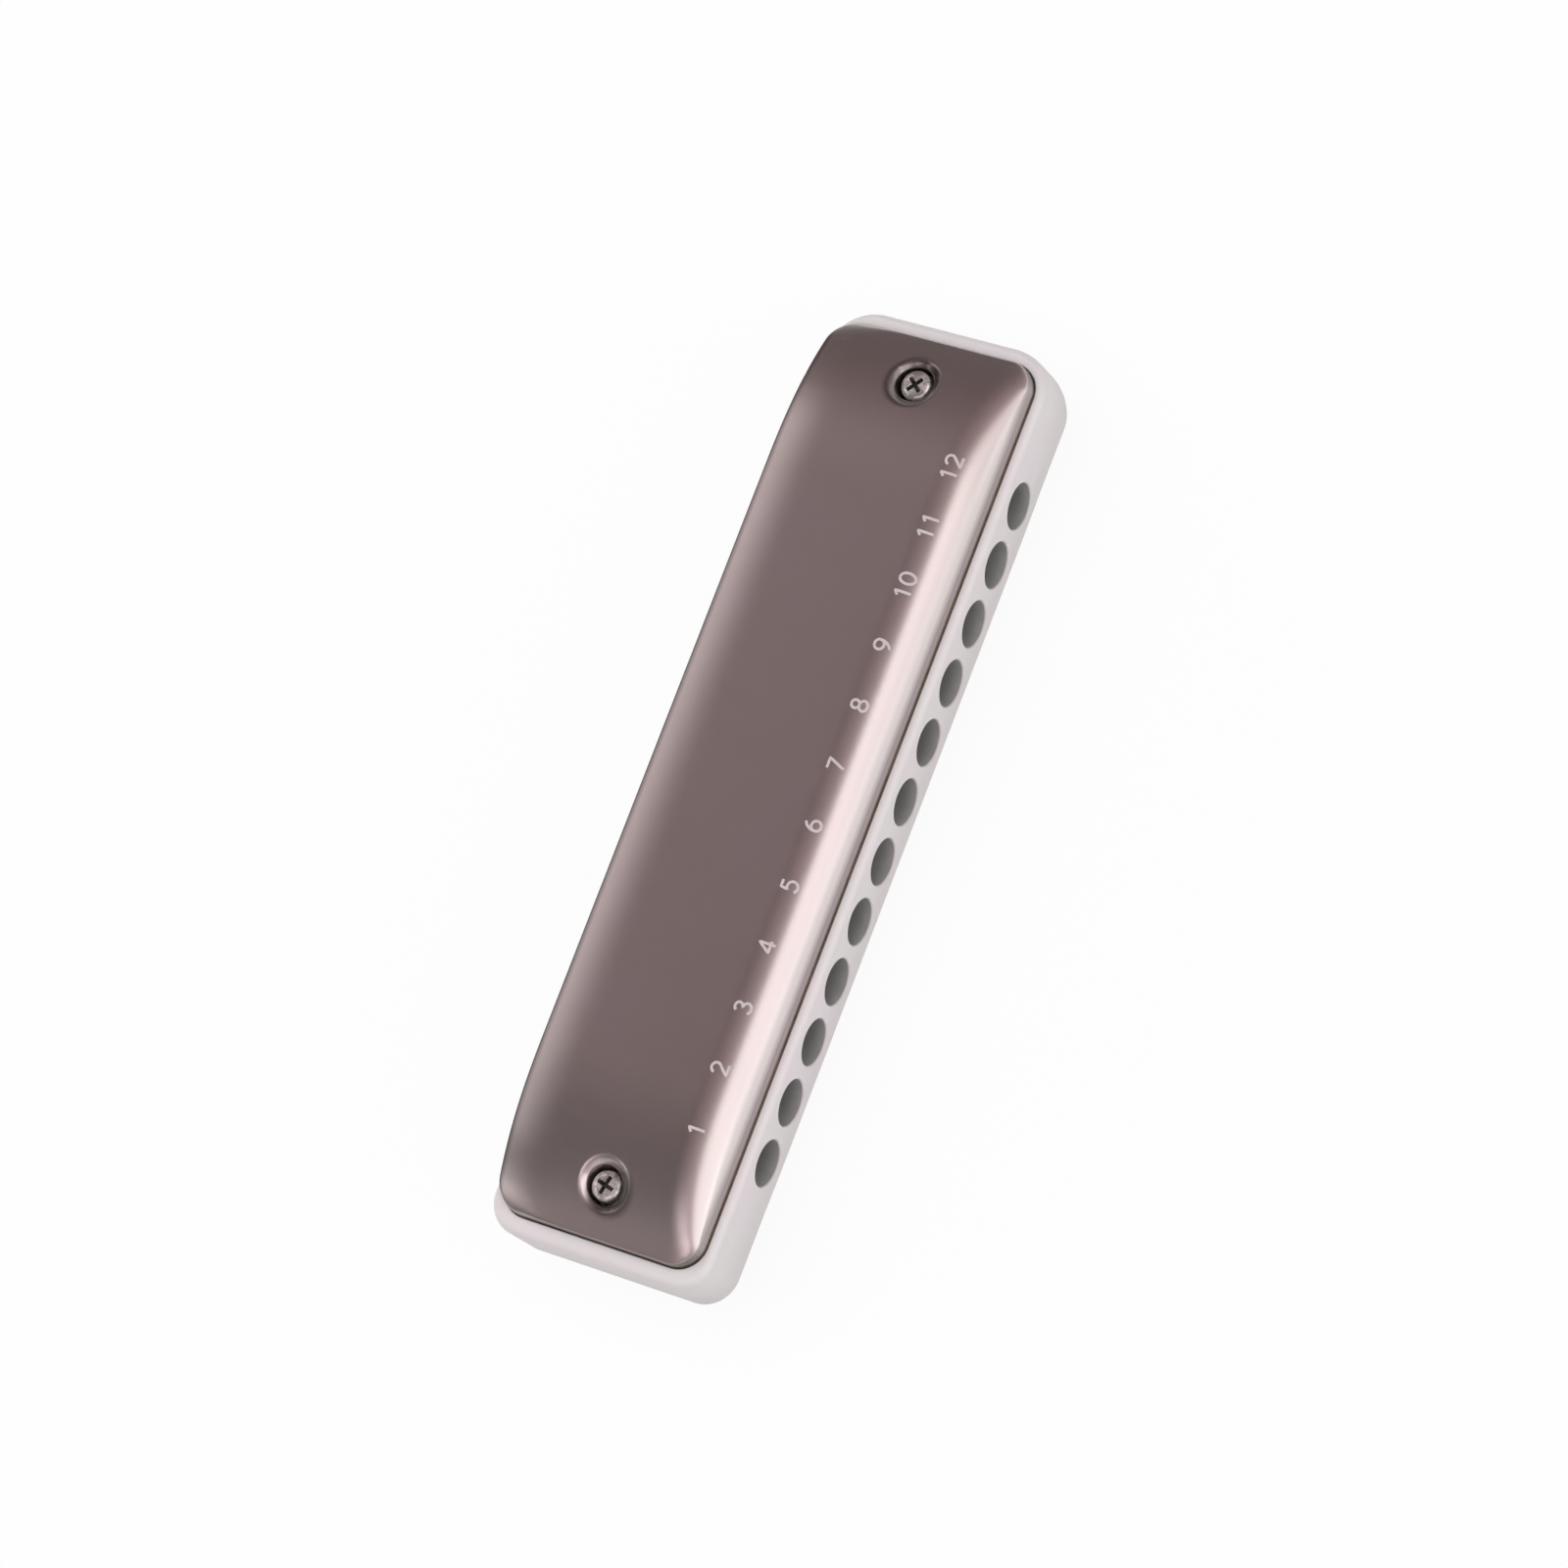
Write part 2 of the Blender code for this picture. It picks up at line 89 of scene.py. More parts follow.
def softenEdges(bm, edges, offset, segments):
    bmesh.ops.bevel(
        bm, geom=edges, offset=offset, segments=segments, profile=0.5, affect="EDGES", material=-1)


def addBlock(bm, low, high):
    low, high = Vector(low), Vector(high)
    place = Matrix.Translation((low + high) / 2) @ Matrix.Diagonal((*(high - low), 1))
    return bmesh.ops.create_cube(bm, size=1, matrix=place)["verts"]


def addRoundedBlock(bm, length, depth, low, high, corner, segments, rightCorner=None):
    verts = addBlock(bm, (-length / 2, -depth / 2, low), (length / 2, depth / 2, high))
    edges = dict.fromkeys(edge for vert in verts for edge in vert.link_edges)
    uprights = [edge for edge in edges if not isLevel(edge)]
    right = [edge for edge in uprights if edge.verts[0].co.x > 0]
    left = [edge for edge in uprights if edge not in right]
    softenEdges(bm, left, corner, segments)
    softenEdges(bm, right, rightCorner or corner, segments)


def addCylinder(bm, radius, depth, segments, place):
    bmesh.ops.create_cone(
        bm, cap_ends=True, segments=segments, radius1=radius, radius2=radius, depth=depth, matrix=place)


def addPin(bm, x, y, radius, low, high, segments):
    addCylinder(bm, radius, high - low, segments, Matrix.Translation((x, y, (low + high) / 2)))


def turnProfile(profile, steps, closed=False):
    bm = bmesh.new()
    points = [bm.verts.new((radius, 0, height)) for radius, height in profile]
    pairs = list(zip(points, points[1:]))
    if closed:
        pairs.append((points[-1], points[0]))
    edges = [bm.edges.new(pair) for pair in pairs]
    bmesh.ops.spin(
        bm, geom=points + edges, cent=(0, 0, 0), axis=(0, 0, 1), angle=2 * math.pi, steps=steps,
        use_merge=True)
    bmesh.ops.remove_doubles(bm, verts=bm.verts, dist=weldGap)
    bmesh.ops.recalc_face_normals(bm, faces=bm.faces)
    return bm


def roundOver(outer, low, inner, high, steps):
    points = []
    for k in range(steps + 1):
        angle = math.pi / 2 * k / steps
        points.append((inner + (outer - inner) * math.cos(angle), low + (high - low) * math.sin(angle)))
    return points


def linkMesh(name, bm):
    mesh = bpy.data.meshes.new(name)
    bm.to_mesh(mesh)
    bm.free()
    thing = bpy.data.objects.new(name, mesh)
    scene.collection.objects.link(thing)
    return thing


# the welded shape that a loose object has in the end; the object and its helpers are used up

def bakeShape(thing, *helpers):
    graph = bpy.context.evaluated_depsgraph_get()
    bm = bmesh.new()
    bm.from_mesh(bpy.data.meshes.new_from_object(thing.evaluated_get(graph)))
    for spent in (thing, *helpers):
        bpy.data.objects.remove(spent, do_unlink=True)
    bmesh.ops.remove_doubles(bm, verts=bm.verts, dist=weldGap)
    return bm


def cutAway(*shapes):
    for bm in shapes:
        bmesh.ops.recalc_face_normals(bm, faces=bm.faces)
    body, tool = (linkMesh("loose", bm) for bm in shapes)
    cut = body.modifiers.new("cut", "BOOLEAN")
    cut.operation = "DIFFERENCE"
    cut.solver = "EXACT"
    cut.use_self = True
    cut.object = tool
    return bakeShape(body, tool)


def finishPiece(name, bm, material, node, body=wholeBody, sharp=32):
    bmesh.ops.scale(bm, vec=(mm, mm, mm), verts=bm.verts)
    piece = linkMesh(name, bm)
    piece.data.materials.append(material)
    piece.data.shade_smooth()
    piece.data.set_sharp_from_angle(angle=math.radians(sharp))
    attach(piece, body)
    if node:
        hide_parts(node)
    return piece


def keepFlatsFlat(piece):
    even = piece.modifiers.new("even normals", "WEIGHTED_NORMAL")
    even.keep_sharp = True
    even.weight = 80


def breakEdges(piece, width, angle=40):
    edge = piece.modifiers.new("broken edges", "BEVEL")
    edge.width = width * mm
    edge.segments = 2
    edge.limit_method = "ANGLE"
    edge.angle_limit = math.radians(angle)
    keepFlatsFlat(piece)


# node helpers

def addNode(tree, kind, values=None, **settings):
    node = tree.nodes.new("ShaderNode" + kind)
    for key, value in settings.items():
        setattr(node, key, value)
    for key, value in (values or {}).items():
        if isinstance(value, bpy.types.NodeSocket):
            tree.links.new(value, node.inputs[key])
        else:
            node.inputs[key].default_value = value
    return node


def newGroup(name, inputs, output):
    group = bpy.data.node_groups.new(name, "ShaderNodeTree")
    kinds = {3: "NodeSocketVector", 4: "NodeSocketColor"}
    for label, value in inputs.items():
        kind = kinds[len(value)] if isinstance(value, tuple) else "NodeSocketFloat"
        group.interface.new_socket(label, in_out="INPUT", socket_type=kind).default_value = value
    kind = "NodeSocketColor" if output == "Color" else "NodeSocketFloat"
    group.interface.new_socket(output, in_out="OUTPUT", socket_type=kind)
    given = group.nodes.new("NodeGroupInput").outputs
    out = group.nodes.new("NodeGroupOutput").inputs[output]
    return group, given, out


def placeGroup(tree, group, values):
    return addNode(tree, "Group", values, node_tree=group).outputs[0]


def calculate(tree, operation, *values):
    return addNode(tree, "Math", dict(enumerate(values)), operation=operation).outputs[0]


def scaled(tree, value, scale):
    return addNode(tree, "VectorMath", {0: value, "Scale": scale}, operation="SCALE").outputs[0]


def axisOf(tree, vector, axis):
    return addNode(tree, "SeparateXYZ", {0: vector}).outputs[axis]


def upwardShare(tree):
    normal = addNode(tree, "NewGeometry").outputs["Normal"]
    return calculate(tree, "ABSOLUTE", axisOf(tree, normal, "Z"))


def remap(tree, value, low, high, fromLow=0.0, fromHigh=1.0, kind="LINEAR"):
    values = {"Value": value, "From Min": fromLow, "From Max": fromHigh, "To Min": low, "To Max": high}
    return addNode(tree, "MapRange", values, interpolation_type=kind).outputs["Result"]


def mixColours(tree, share, first, second, blend="MIX"):
    values = {0: share, 6: first, 7: second}
    return addNode(tree, "Mix", values, data_type="RGBA", blend_type=blend).outputs[2]


def rampColour(tree, value, stops):
    low, high = stops[0][0], stops[-1][0]
    ramp = addNode(tree, "ValToRGB", {0: remap(tree, value, 0.0, 1.0, low, high)})
    elements = ramp.color_ramp.elements
    elements.remove(elements[1])
    for place, colour in stops:
        element = elements[0] if place == low else elements.new((place - low) / (high - low))
        element.color = (*colour, 1)
    return ramp.outputs[0]


def makeFineGrain():
    group, given, out = newGroup("fineGrain", {
        "Vector": (0.0, 0.0, 0.0), "Per Millimetre": 5.0,
        "Coarse Share": 0.35, "Coarse Scale": 0.17}, "Grain")
    fine = addNode(group, "TexNoise", {
        "Vector": given["Vector"], "Scale": given["Per Millimetre"], "Detail": 3.0, "Roughness": 0.65})
    slower = calculate(group, "MULTIPLY", given["Per Millimetre"], given["Coarse Scale"])
    coarse = addNode(group, "TexNoise", {
        "Vector": given["Vector"], "Scale": slower, "Detail": 2.0, "Roughness": 0.5})
    both = addNode(group, "Mix", {0: given["Coarse Share"], 2: fine.outputs[0], 3: coarse.outputs[0]})
    group.links.new(both.outputs[0], out)
    return group


def makeSoftBlotches():
    group, given, out = newGroup("softBlotches", {
        "Vector": (0.0, 0.0, 0.0), "Per Millimetre": 0.05,
        "First Color": (0.5, 0.5, 0.5, 1.0), "Second Color": (0.4, 0.4, 0.4, 1.0)}, "Color")
    cloud = addNode(group, "TexNoise", {
        "Vector": given["Vector"], "Scale": given["Per Millimetre"],
        "Detail": 2.5, "Roughness": 0.55, "Distortion": 0.6})
    share = remap(group, cloud.outputs[0], 0.0, 1.0, fromLow=0.33, fromHigh=0.67)
    group.links.new(mixColours(group, share, given["First Color"], given["Second Color"]), out)
    return group


def makeEdgeWear():
    group, given, out = newGroup("edgeWear", {
        "Vector": (0.0, 0.0, 0.0), "Per Millimetre": 0.8, "Start": 0.52, "End": 0.62}, "Wear")
    bend = addNode(group, "NewGeometry").outputs["Pointiness"]
    rim = remap(group, bend, 0.0, 1.0, given["Start"], given["End"])
    patchy = addNode(group, "TexNoise", {
        "Vector": given["Vector"], "Scale": given["Per Millimetre"], "Detail": 4.0, "Roughness": 0.6})
    broken = remap(group, patchy.outputs[0], 0.25, 1.0, fromLow=0.35, fromHigh=0.6)
    group.links.new(calculate(group, "MULTIPLY", rim, broken), out)
    return group


def makeBrushLines():
    group, given, out = newGroup("brushLines", {
        "Vector": (0.0, 0.0, 0.0), "Stretch": (0.15, 9.0, 9.0)}, "Lines")
    along = addNode(group, "VectorMath", {0: given["Vector"], 1: given["Stretch"]}, operation="MULTIPLY")
    lines = addNode(group, "TexNoise", {
        "Vector": along.outputs[0], "Scale": 1.0, "Detail": 3.0, "Roughness": 0.7})
    group.links.new(remap(group, lines.outputs[0], 0.0, 1.0, fromLow=0.3, fromHigh=0.7), out)
    return group


fineGrain = makeFineGrain()
softBlotches = makeSoftBlotches()
edgeWear = makeEdgeWear()
brushLines = makeBrushLines()
grainRange = (0.3, 0.7)  # nearly all values of a grain lie in here
print("effects ready: grain, blotches, edge wear, brush lines")


# painted shade and highlight on steep walls: darker along the foot and at the ends, lighter above the foot,
# standing in for what the walls reflect (stops run from the middle of the comb outwards)

def shadeFoot(tree, millimetres, colour, look):
    height = calculate(tree, "SUBTRACT", axisOf(tree, millimetres, "Z"), combMiddle)
    height = calculate(tree, "ABSOLUTE", height)
    halves = [(place, (level / 2,) * 3) for place, level in look["paintedFootLevels"]]  # a ramp stops at 1
    shade = rampColour(tree, height, halves)
    steep = remap(tree, upwardShare(tree), 0.0, 1.0, *look["steepRange"], "SMOOTHSTEP")
    along = calculate(tree, "ABSOLUTE", axisOf(tree, millimetres, "X"))
    start, end, level = look["paintedEndShade"]
    doubled = scaled(tree, shade, remap(tree, along, 2.0, 2 * level, start, end))
    return mixColours(tree, steep, colour, doubled, "MULTIPLY")


# painted shade: darker rings beside the screws and a darker band along the back edge, where shade falls

def shadeGrime(tree, millimetres, colour, look):
    flat = addNode(tree, "VectorMath", {0: millimetres, 1: (1, 1, 0)}, operation="MULTIPLY").outputs[0]
    start, end, level = look["backEdgePaintedShade"]
    shades = [remap(tree, axisOf(tree, millimetres, "Y"), 1.0, level, start, end)]
    for x, y, inner, outer, level in look["paintedShadeSpots"]:
        away = addNode(tree, "VectorMath", {0: flat, 1: (x, y, 0)}, operation="DISTANCE").outputs["Value"]
        shades.append(remap(tree, away, level, 1.0, inner, outer, "SMOOTHSTEP"))
    for shade in shades:
        colour = scaled(tree, colour, shade)
    return colour


# one finish: two close colours, worn edges, roughness and bump from a grain or from brush lines

def makeFinish(name, look):
    material = bpy.data.materials.new(name)
    material.use_nodes = True
    tree = material.node_tree
    shader = tree.nodes["Principled BSDF"]
    place = addNode(tree, "TexCoord").outputs["Object"]
    millimetres = scaled(tree, place, 1 / mm)
    colour = placeGroup(tree, softBlotches, {
        "Vector": millimetres, "Per Millimetre": look["blotchesPerMm"],
        "First Color": (*look["colours"][0], 1), "Second Color": (*look["colours"][1], 1)})
    # painted shade, darker deeper along Y
    if "deepPaintedShade" in look:
        share = remap(tree, axisOf(tree, millimetres, "Y"), 0.0, 1.0, *look["deepPaintedShadeReach"])
        colour = mixColours(tree, share, colour, (*look["deepPaintedShade"], 1))
    # painted shade, darker towards the bottom
    if "lowPaintedShade" in look:
        start, end, level = look["lowPaintedShade"]
        colour = scaled(tree, colour, remap(tree, axisOf(tree, millimetres, "Z"), level, 1.0, start, end))
    # painted shade on upright walls
    if "wallPaintedShade" in look:
        start, end, level = look["wallPaintedShade"]
        colour = scaled(tree, colour, remap(tree, upwardShare(tree), level, 1.0, start, end))
    if "paintedFootLevels" in look:
        # painted shade and highlight along the cover's walls
        colour = shadeFoot(tree, millimetres, colour, look)
        # painted shade beside the screws and along the back edge
        colour = shadeGrime(tree, millimetres, colour, look)
    wear = placeGroup(tree, edgeWear, {
        "Vector": millimetres, "Per Millimetre": look["wearPerMm"],
        "Start": look["wearRange"][0], "End": look["wearRange"][1]})
    colour = mixColours(tree, wear, colour, (*look["wornColour"], 1))
    if "brushStretch" in look:
        grain = placeGroup(tree, brushLines, {"Vector": millimetres, "Stretch": look["brushStretch"]})
    else:
        grain = placeGroup(tree, fineGrain, {
            "Vector": millimetres, "Per Millimetre": look["grainPerMm"],
            "Coarse Share": look["coarseShare"]})
    darker = addNode(tree, "HueSaturation", {"Value": 1 - look["grainShade"], "Color": colour}).outputs[0]
    colour = mixColours(tree, grain, darker, colour)
    bump = addNode(tree, "Bump", {
        "Height": grain, "Strength": look["bump"], "Distance": look["bumpHeight"] * mm})
    tree.links.new(colour, shader.inputs["Base Color"])
    tree.links.new(remap(tree, grain, *look["roughness"], *grainRange), shader.inputs["Roughness"])
    tree.links.new(bump.outputs[0], shader.inputs["Normal"])
    shader.inputs["Metallic"].default_value = look["metallic"]
    return material


# a shade is where it starts, where it ends and how dark it gets
satinLook = {
    "colours": ((0.61, 0.54, 0.537), (0.585, 0.535, 0.515)),
    "wornColour": (0.72, 0.66, 0.65),
    "blotchesPerMm": 0.045, "wearPerMm": 1.2, "wearRange": (0.56, 0.75),
    "grainPerMm": 7.0, "coarseShare": 0.3, "grainShade": 0.05,
    "roughness": (0.28, 0.35), "bump": 0.12, "bumpHeight": 0.01, "metallic": 1.0,
    # painted shade and highlight on the walls, by height from the middle of the comb
    "paintedFootLevels": (
        (4.4, 1.0), (5.6, 0.86), (5.85, 0.7), (6.05, 0.66),
        (6.6, 0.86), (7.2, 1.2), (7.8, 1.2), (8.4, 1.0)),
    "steepRange": (0.68, 0.5), "paintedEndShade": (53.5, 55.5, 0.5),
    # painted shade around the screw pockets and along the back edge
    "paintedShadeSpots": ((-50.8, -1.0, 2.3, 3.7, 0.42), (50.3, 0.0, 3.0, 3.8, 0.42)),
    "backEdgePaintedShade": (12.6, 13.25, 0.42),
}
lacquerLook = {
    "colours": ((0.65, 0.617, 0.633), (0.628, 0.63, 0.622)),
    "wornColour": (0.68, 0.66, 0.66),
    "blotchesPerMm": 0.12, "wearPerMm": 0.6, "wearRange": (0.54, 0.66),
    "grainPerMm": 4.0, "coarseShare": 0.45, "grainShade": 0.08,
    "roughness": (0.42, 0.56), "bump": 0.16, "bumpHeight": 0.02, "metallic": 0.12,
    "lowPaintedShade": (6.0, 12.0, 0.86),  # painted shade, darker towards the bottom where less light falls
}
# painted shade: a darker grey that stands in for the shade inside the bores and chambers
boreShadeLook = {
    "colours": ((0.40, 0.41, 0.40), (0.35, 0.36, 0.35)),
    "wornColour": (0.45, 0.45, 0.45),
    "deepPaintedShade": (0.1, 0.104, 0.102), "deepPaintedShadeReach": (-14.2, -9.5),  # painted shade, darker deeper into the bore
    "blotchesPerMm": 0.3, "wearPerMm": 1.0, "wearRange": (0.54, 0.66),
    "grainPerMm": 5.0, "coarseShare": 0.5, "grainShade": 0.15,
    "roughness": (0.4, 0.6), "bump": 0.2, "bumpHeight": 0.02, "metallic": 0.0,
}
brassLook = {
    "colours": ((0.72, 0.52, 0.23), (0.62, 0.43, 0.19)),
    "wornColour": (0.85, 0.68, 0.38),
    "blotchesPerMm": 0.12, "wearPerMm": 0.8, "wearRange": (0.53, 0.62),
    "brushStretch": (0.12, 7.0, 7.0), "grainShade": 0.16,
    "roughness": (0.3, 0.46), "bump": 0.15, "bumpHeight": 0.01, "metallic": 0.45,
    "wallPaintedShade": (0.3, 0.9, 0.06),  # painted shade: upright walls are darkened, standing in for the shade in the gap beside the plates
}
reedLook = {
    "colours": ((0.82, 0.64, 0.33), (0.76, 0.58, 0.28)),
    "wornColour": (0.9, 0.75, 0.46),
    "blotchesPerMm": 0.4, "wearPerMm": 1.5, "wearRange": (0.53, 0.62),
    "brushStretch": (10.0, 0.4, 10.0), "grainShade": 0.2,
    "roughness": (0.24, 0.4), "bump": 0.2, "bumpHeight": 0.01, "metallic": 0.5,
}
rivetLook = {
    "colours": ((0.66, 0.47, 0.2), (0.56, 0.38, 0.16)),
    "wornColour": (0.84, 0.66, 0.36),
    "blotchesPerMm": 0.8, "wearPerMm": 2.0, "wearRange": (0.53, 0.62),
    "grainPerMm": 6.0, "coarseShare": 0.4, "grainShade": 0.15,
    "roughness": (0.24, 0.38), "bump": 0.15, "bumpHeight": 0.01, "metallic": 0.6,
}
nickelLook = {
    "colours": ((0.93, 0.9, 0.88), (0.42, 0.39, 0.37)),
    "wornColour": (0.95, 0.93, 0.92),
    "blotchesPerMm": 1.3, "wearPerMm": 2.0, "wearRange": (0.53, 0.62),
    "grainPerMm": 5.0, "coarseShare": 0.6, "grainShade": 0.3,
    "roughness": (0.2, 0.36), "bump": 0.6, "bumpHeight": 0.05, "metallic": 0.75,
}
# painted shade: a near-black finish standing in for the shade in the cross recess
recessShadeLook = {
    "colours": ((0.05, 0.045, 0.042), (0.1, 0.09, 0.085)),
    "wornColour": (0.3, 0.28, 0.27),
    "blotchesPerMm": 1.5, "wearPerMm": 2.0, "wearRange": (0.6, 0.8),
    "grainPerMm": 5.0, "coarseShare": 0.5, "grainShade": 0.3,
    "roughness": (0.5, 0.7), "bump": 0.3, "bumpHeight": 0.02, "metallic": 0.2,
}
markLook = {
    "colours": ((0.54, 0.49, 0.49), (0.48, 0.44, 0.44)),
    "wornColour": (0.58, 0.53, 0.53),
    "blotchesPerMm": 0.9, "wearPerMm": 2.0, "wearRange": (0.6, 0.8),
    "grainPerMm": 8.0, "coarseShare": 0.4, "grainShade": 0.2,
    "roughness": (0.5, 0.65), "bump": 0.1, "bumpHeight": 0.005, "metallic": 0.0,
}
coverSatin = makeFinish("coverSatin", satinLook)
combLacquer = makeFinish("combLacquer", lacquerLook)
boreShadeFinish = makeFinish("boreShadeFinish", boreShadeLook)
plateBrass = makeFinish("plateBrass", brassLook)
reedBrass = makeFinish("reedBrass", reedLook)
rivetBrass = makeFinish("rivetBrass", rivetLook)
screwNickel = makeFinish("screwNickel", nickelLook)
recessShadeFinish = makeFinish("recessShadeFinish", recessShadeLook)
markInk = makeFinish("markInk", markLook)
print("finishes ready:", len(bpy.data.materials))


# fasteners' places, used by the comb, the plates and the covers too
fastenerPlaces = {
    "screwX": 50.3, "screwBore": 1.1, "screwBoreSteps": 32,
    "plateScrews": {"left": (-47.25, -8.0), "right": (47.25, -8.0), "back": (0.0, 11.675)},
    "plateScrewBore": 0.9, "plateScrewBoreSteps": 24,
}
sides = {"left": -fastenerPlaces["screwX"], "right": fastenerPlaces["screwX"]}


def addFastenerBores(tool, low, high):
    for x in sides.values():
        addPin(tool, x, 0, fastenerPlaces["screwBore"], low, high, fastenerPlaces["screwBoreSteps"])
    for x, y in fastenerPlaces["plateScrews"].values():
        radius, steps = fastenerPlaces["plateScrewBore"], fastenerPlaces["plateScrewBoreSteps"]
        addPin(tool, x, y, radius, low, high, steps)


# in these dictionaries a soft edge is its width and its segments
comb = {
    "length": 117.5, "depth": 29.5, "halfHeight": 4.6, "edge": (1.0, 7),
    "corner": 4.2, "rightCorner": 6.0, "cornerSteps": 14,
    "endStretch": 2.6, "endTurn": 50,  # the right end is rolled over further than the rest
    "seatLength": 113.3, "seatDepth": 27.2, "seatCorner": 3.65, "seatSteps": 12,
    "seatRim": (0.1, 3),  # a wider rim would eat up the narrow land beside it
    "core": 3.4, "chamberWidth": 5.4, "chamberFront": -9.25, "chamberBack": 9.75,
    "holeRadius": 2.85, "holeReach": 6.5, "holeSteps": 64, "holeRim": (0.28, 4),
    "overrun": 2, "flush": 0.002, "creaseAngle": 60,
}


def rollRightEnd(bm):
    for vert in bm.verts:
        along = max(vert.co.x - comb["length"] / 2 + comb["rightCorner"], 0)
        across = max(abs(vert.co.y) - comb["depth"] / 2 + comb["rightCorner"], 0)
        share = softStep(0, comb["endTurn"], math.degrees(math.atan2(along, across)))
        side = math.copysign(1, vert.co.z - combMiddle)
        drop = comb["halfHeight"] - abs(vert.co.z - combMiddle)
        vert.co.z = combMiddle + side * (comb["halfHeight"] - drop * (1 + (comb["endStretch"] - 1) * share))


def makeCombTool(low, top, front):
    tool = bmesh.new()
    seat = (comb["seatLength"], comb["seatDepth"])
    corner = (comb["seatCorner"], comb["seatSteps"])
    reach, over = comb["holeReach"], comb["overrun"]
    addRoundedBlock(tool, *seat, combMiddle + comb["core"], top + over, *corner)
    addRoundedBlock(tool, *seat, low - over, combMiddle - comb["core"], *corner)
    half = comb["chamberWidth"] / 2
    lying = Matrix.Rotation(math.pi / 2, 4, "X")
    for x in holePlaces:
        addBlock(tool, (x - half, comb["chamberFront"], low), (x + half, comb["chamberBack"], top))
        place = Matrix.Translation((x, front + (reach - over) / 2, combMiddle))
        addCylinder(tool, comb["holeRadius"], reach + over, comb["holeSteps"], place @ lying)
    addFastenerBores(tool, low, top)
    return tool


def isRim(edge, axis, levels):
    def flush(level):
        return all(abs(vert.co[axis] - level) < comb["flush"] for vert in edge.verts)

    if len(edge.link_faces) != 2 or not any(flush(level) for level in levels):
        return False
    return edge.calc_face_angle() > math.radians(comb["creaseAngle"])


def makeComb():
    bm = bmesh.new()
    top, low = combMiddle + comb["halfHeight"], combMiddle - comb["halfHeight"]
    front = -comb["depth"] / 2
    corners = (comb["corner"], comb["cornerSteps"], comb["rightCorner"])
    addRoundedBlock(bm, comb["length"], comb["depth"], low, top, *corners)
    softenEdges(bm, [edge for edge in bm.edges if isLevel(edge)], *comb["edge"])
    rollRightEnd(bm)
    bm = cutAway(bm, makeCombTool(low, top, front))
    holeRims = [edge for edge in bm.edges if isRim(edge, 1, (front,))]
    softenEdges(bm, holeRims, *comb["holeRim"])
    seatRims = [edge for edge in bm.edges if isRim(edge, 2, (top, low))]
    softenEdges(bm, seatRims, *comb["seatRim"])
    for face in bm.faces:  # painted shade: bores and chambers get a darker grey finish standing in for the shade inside them
        x, y, z = face.calc_center_median()
        nearHole = min(abs(x - place) for place in holePlaces) < comb["holeRadius"] + nearGap
        inDepth = front + comb["holeRim"][0] < y < comb["chamberBack"] + nearGap
        if nearHole and inDepth and abs(z - combMiddle) < comb["core"] - nearGap:
            face.material_index = 1
    piece = finishPiece("comb_moulded", bm, combLacquer, "comb")
    piece.data.materials.append(boreShadeFinish)
    keepFlatsFlat(piece)
    print("comb:", len(piece.data.polygons), "faces,", len(holeRims), "hole rim edges")


makeComb()


cover = {
    "halfLength": 56.5, "halfDepth": 13.45, "seat": 14.9, "corner": 3.5, "sheet": 0.5,
    "skirt": 1.5, "rise": 4.4, "roll": 5.5, "rollEnd": 0.5,  # upright foot, then the rolled mouth side
    "droop": 0.5, "droopDepth": 6.0, "lip": 1.0,  # back edge bends down into a lip
    "slopeStart": 36.0, "slope": 20.5, "slopePower": 2.5,
    "pocket": 2.25, "pocketFloor": 15.4,
    "dimple": 3.3, "dimpleShift": -0.25, "dimpleDepth": 1.0, "dimplePower": 1.6,
    "patch": 4.1, "roundPatch": 3.3,  # fine cells about each screw
    "columnCells": (6, 12, 40, 6), "rollCells": 24, "rowCells": (4, 40, 4, 10),
    "crease": (0.25, 4), "pocketRim": (0.12, 3), "pocketCorner": (0.2, 3), "footEdge": 0.06,
}


def endShare(x):
    along = min(max(abs(x) - cover["slopeStart"], 0) / cover["slope"], 1)
    return 1 - along ** cover["slopePower"]


def rollDepth(x):
    return cover["roll"] * (cover["rollEnd"] + (1 - cover["rollEnd"]) * endShare(x))


def coverHeight(x, y):
    over = min(max(abs(x) - cover["halfLength"] + cover["corner"], 0), cover["corner"])
    inset = cover["corner"] - math.sqrt(cover["corner"] ** 2 - over ** 2)
    front = min(max((y + cover["halfDepth"] - inset) / rollDepth(x), 0), 1)
    back = min(max(1 - (cover["halfDepth"] - inset - y) / cover["droopDepth"], 0), 1)
    rise = endShare(x) * cover["rise"] * math.sqrt(1 - (1 - front) ** 2)
    return cover["seat"] + cover["skirt"] + rise - cover["droop"] * back ** 2


def coverColumns():
    middle, patch = fastenerPlaces["screwX"], cover["patch"]
    ends = (0, cover["slopeStart"], middle - patch, middle + patch, cover["halfLength"])
    half = spreadRuns(ends, cover["columnCells"])
    return [-x for x in reversed(half)] + [0] + half


def coverRows():
    # a row has a place on a flat end and a place where the roll is full
    front, back, patch = -cover["halfDepth"], cover["halfDepth"], cover["patch"]
    rows = [(front, front)]
    for part in spread(0, 1, cover["rollCells"]):
        curved = front + cover["roll"] * (1 - math.cos(part * math.pi / 2))
        rows.append((front + cover["roll"] * part, curved))
    ends = (front + cover["roll"], -patch, patch, back - cover["droopDepth"], back)
    return rows + [(y, y) for y in spreadRuns(ends, cover["rowCells"])]


def screwOffset(x, y):
    return abs(x) - fastenerPlaces["screwX"], y


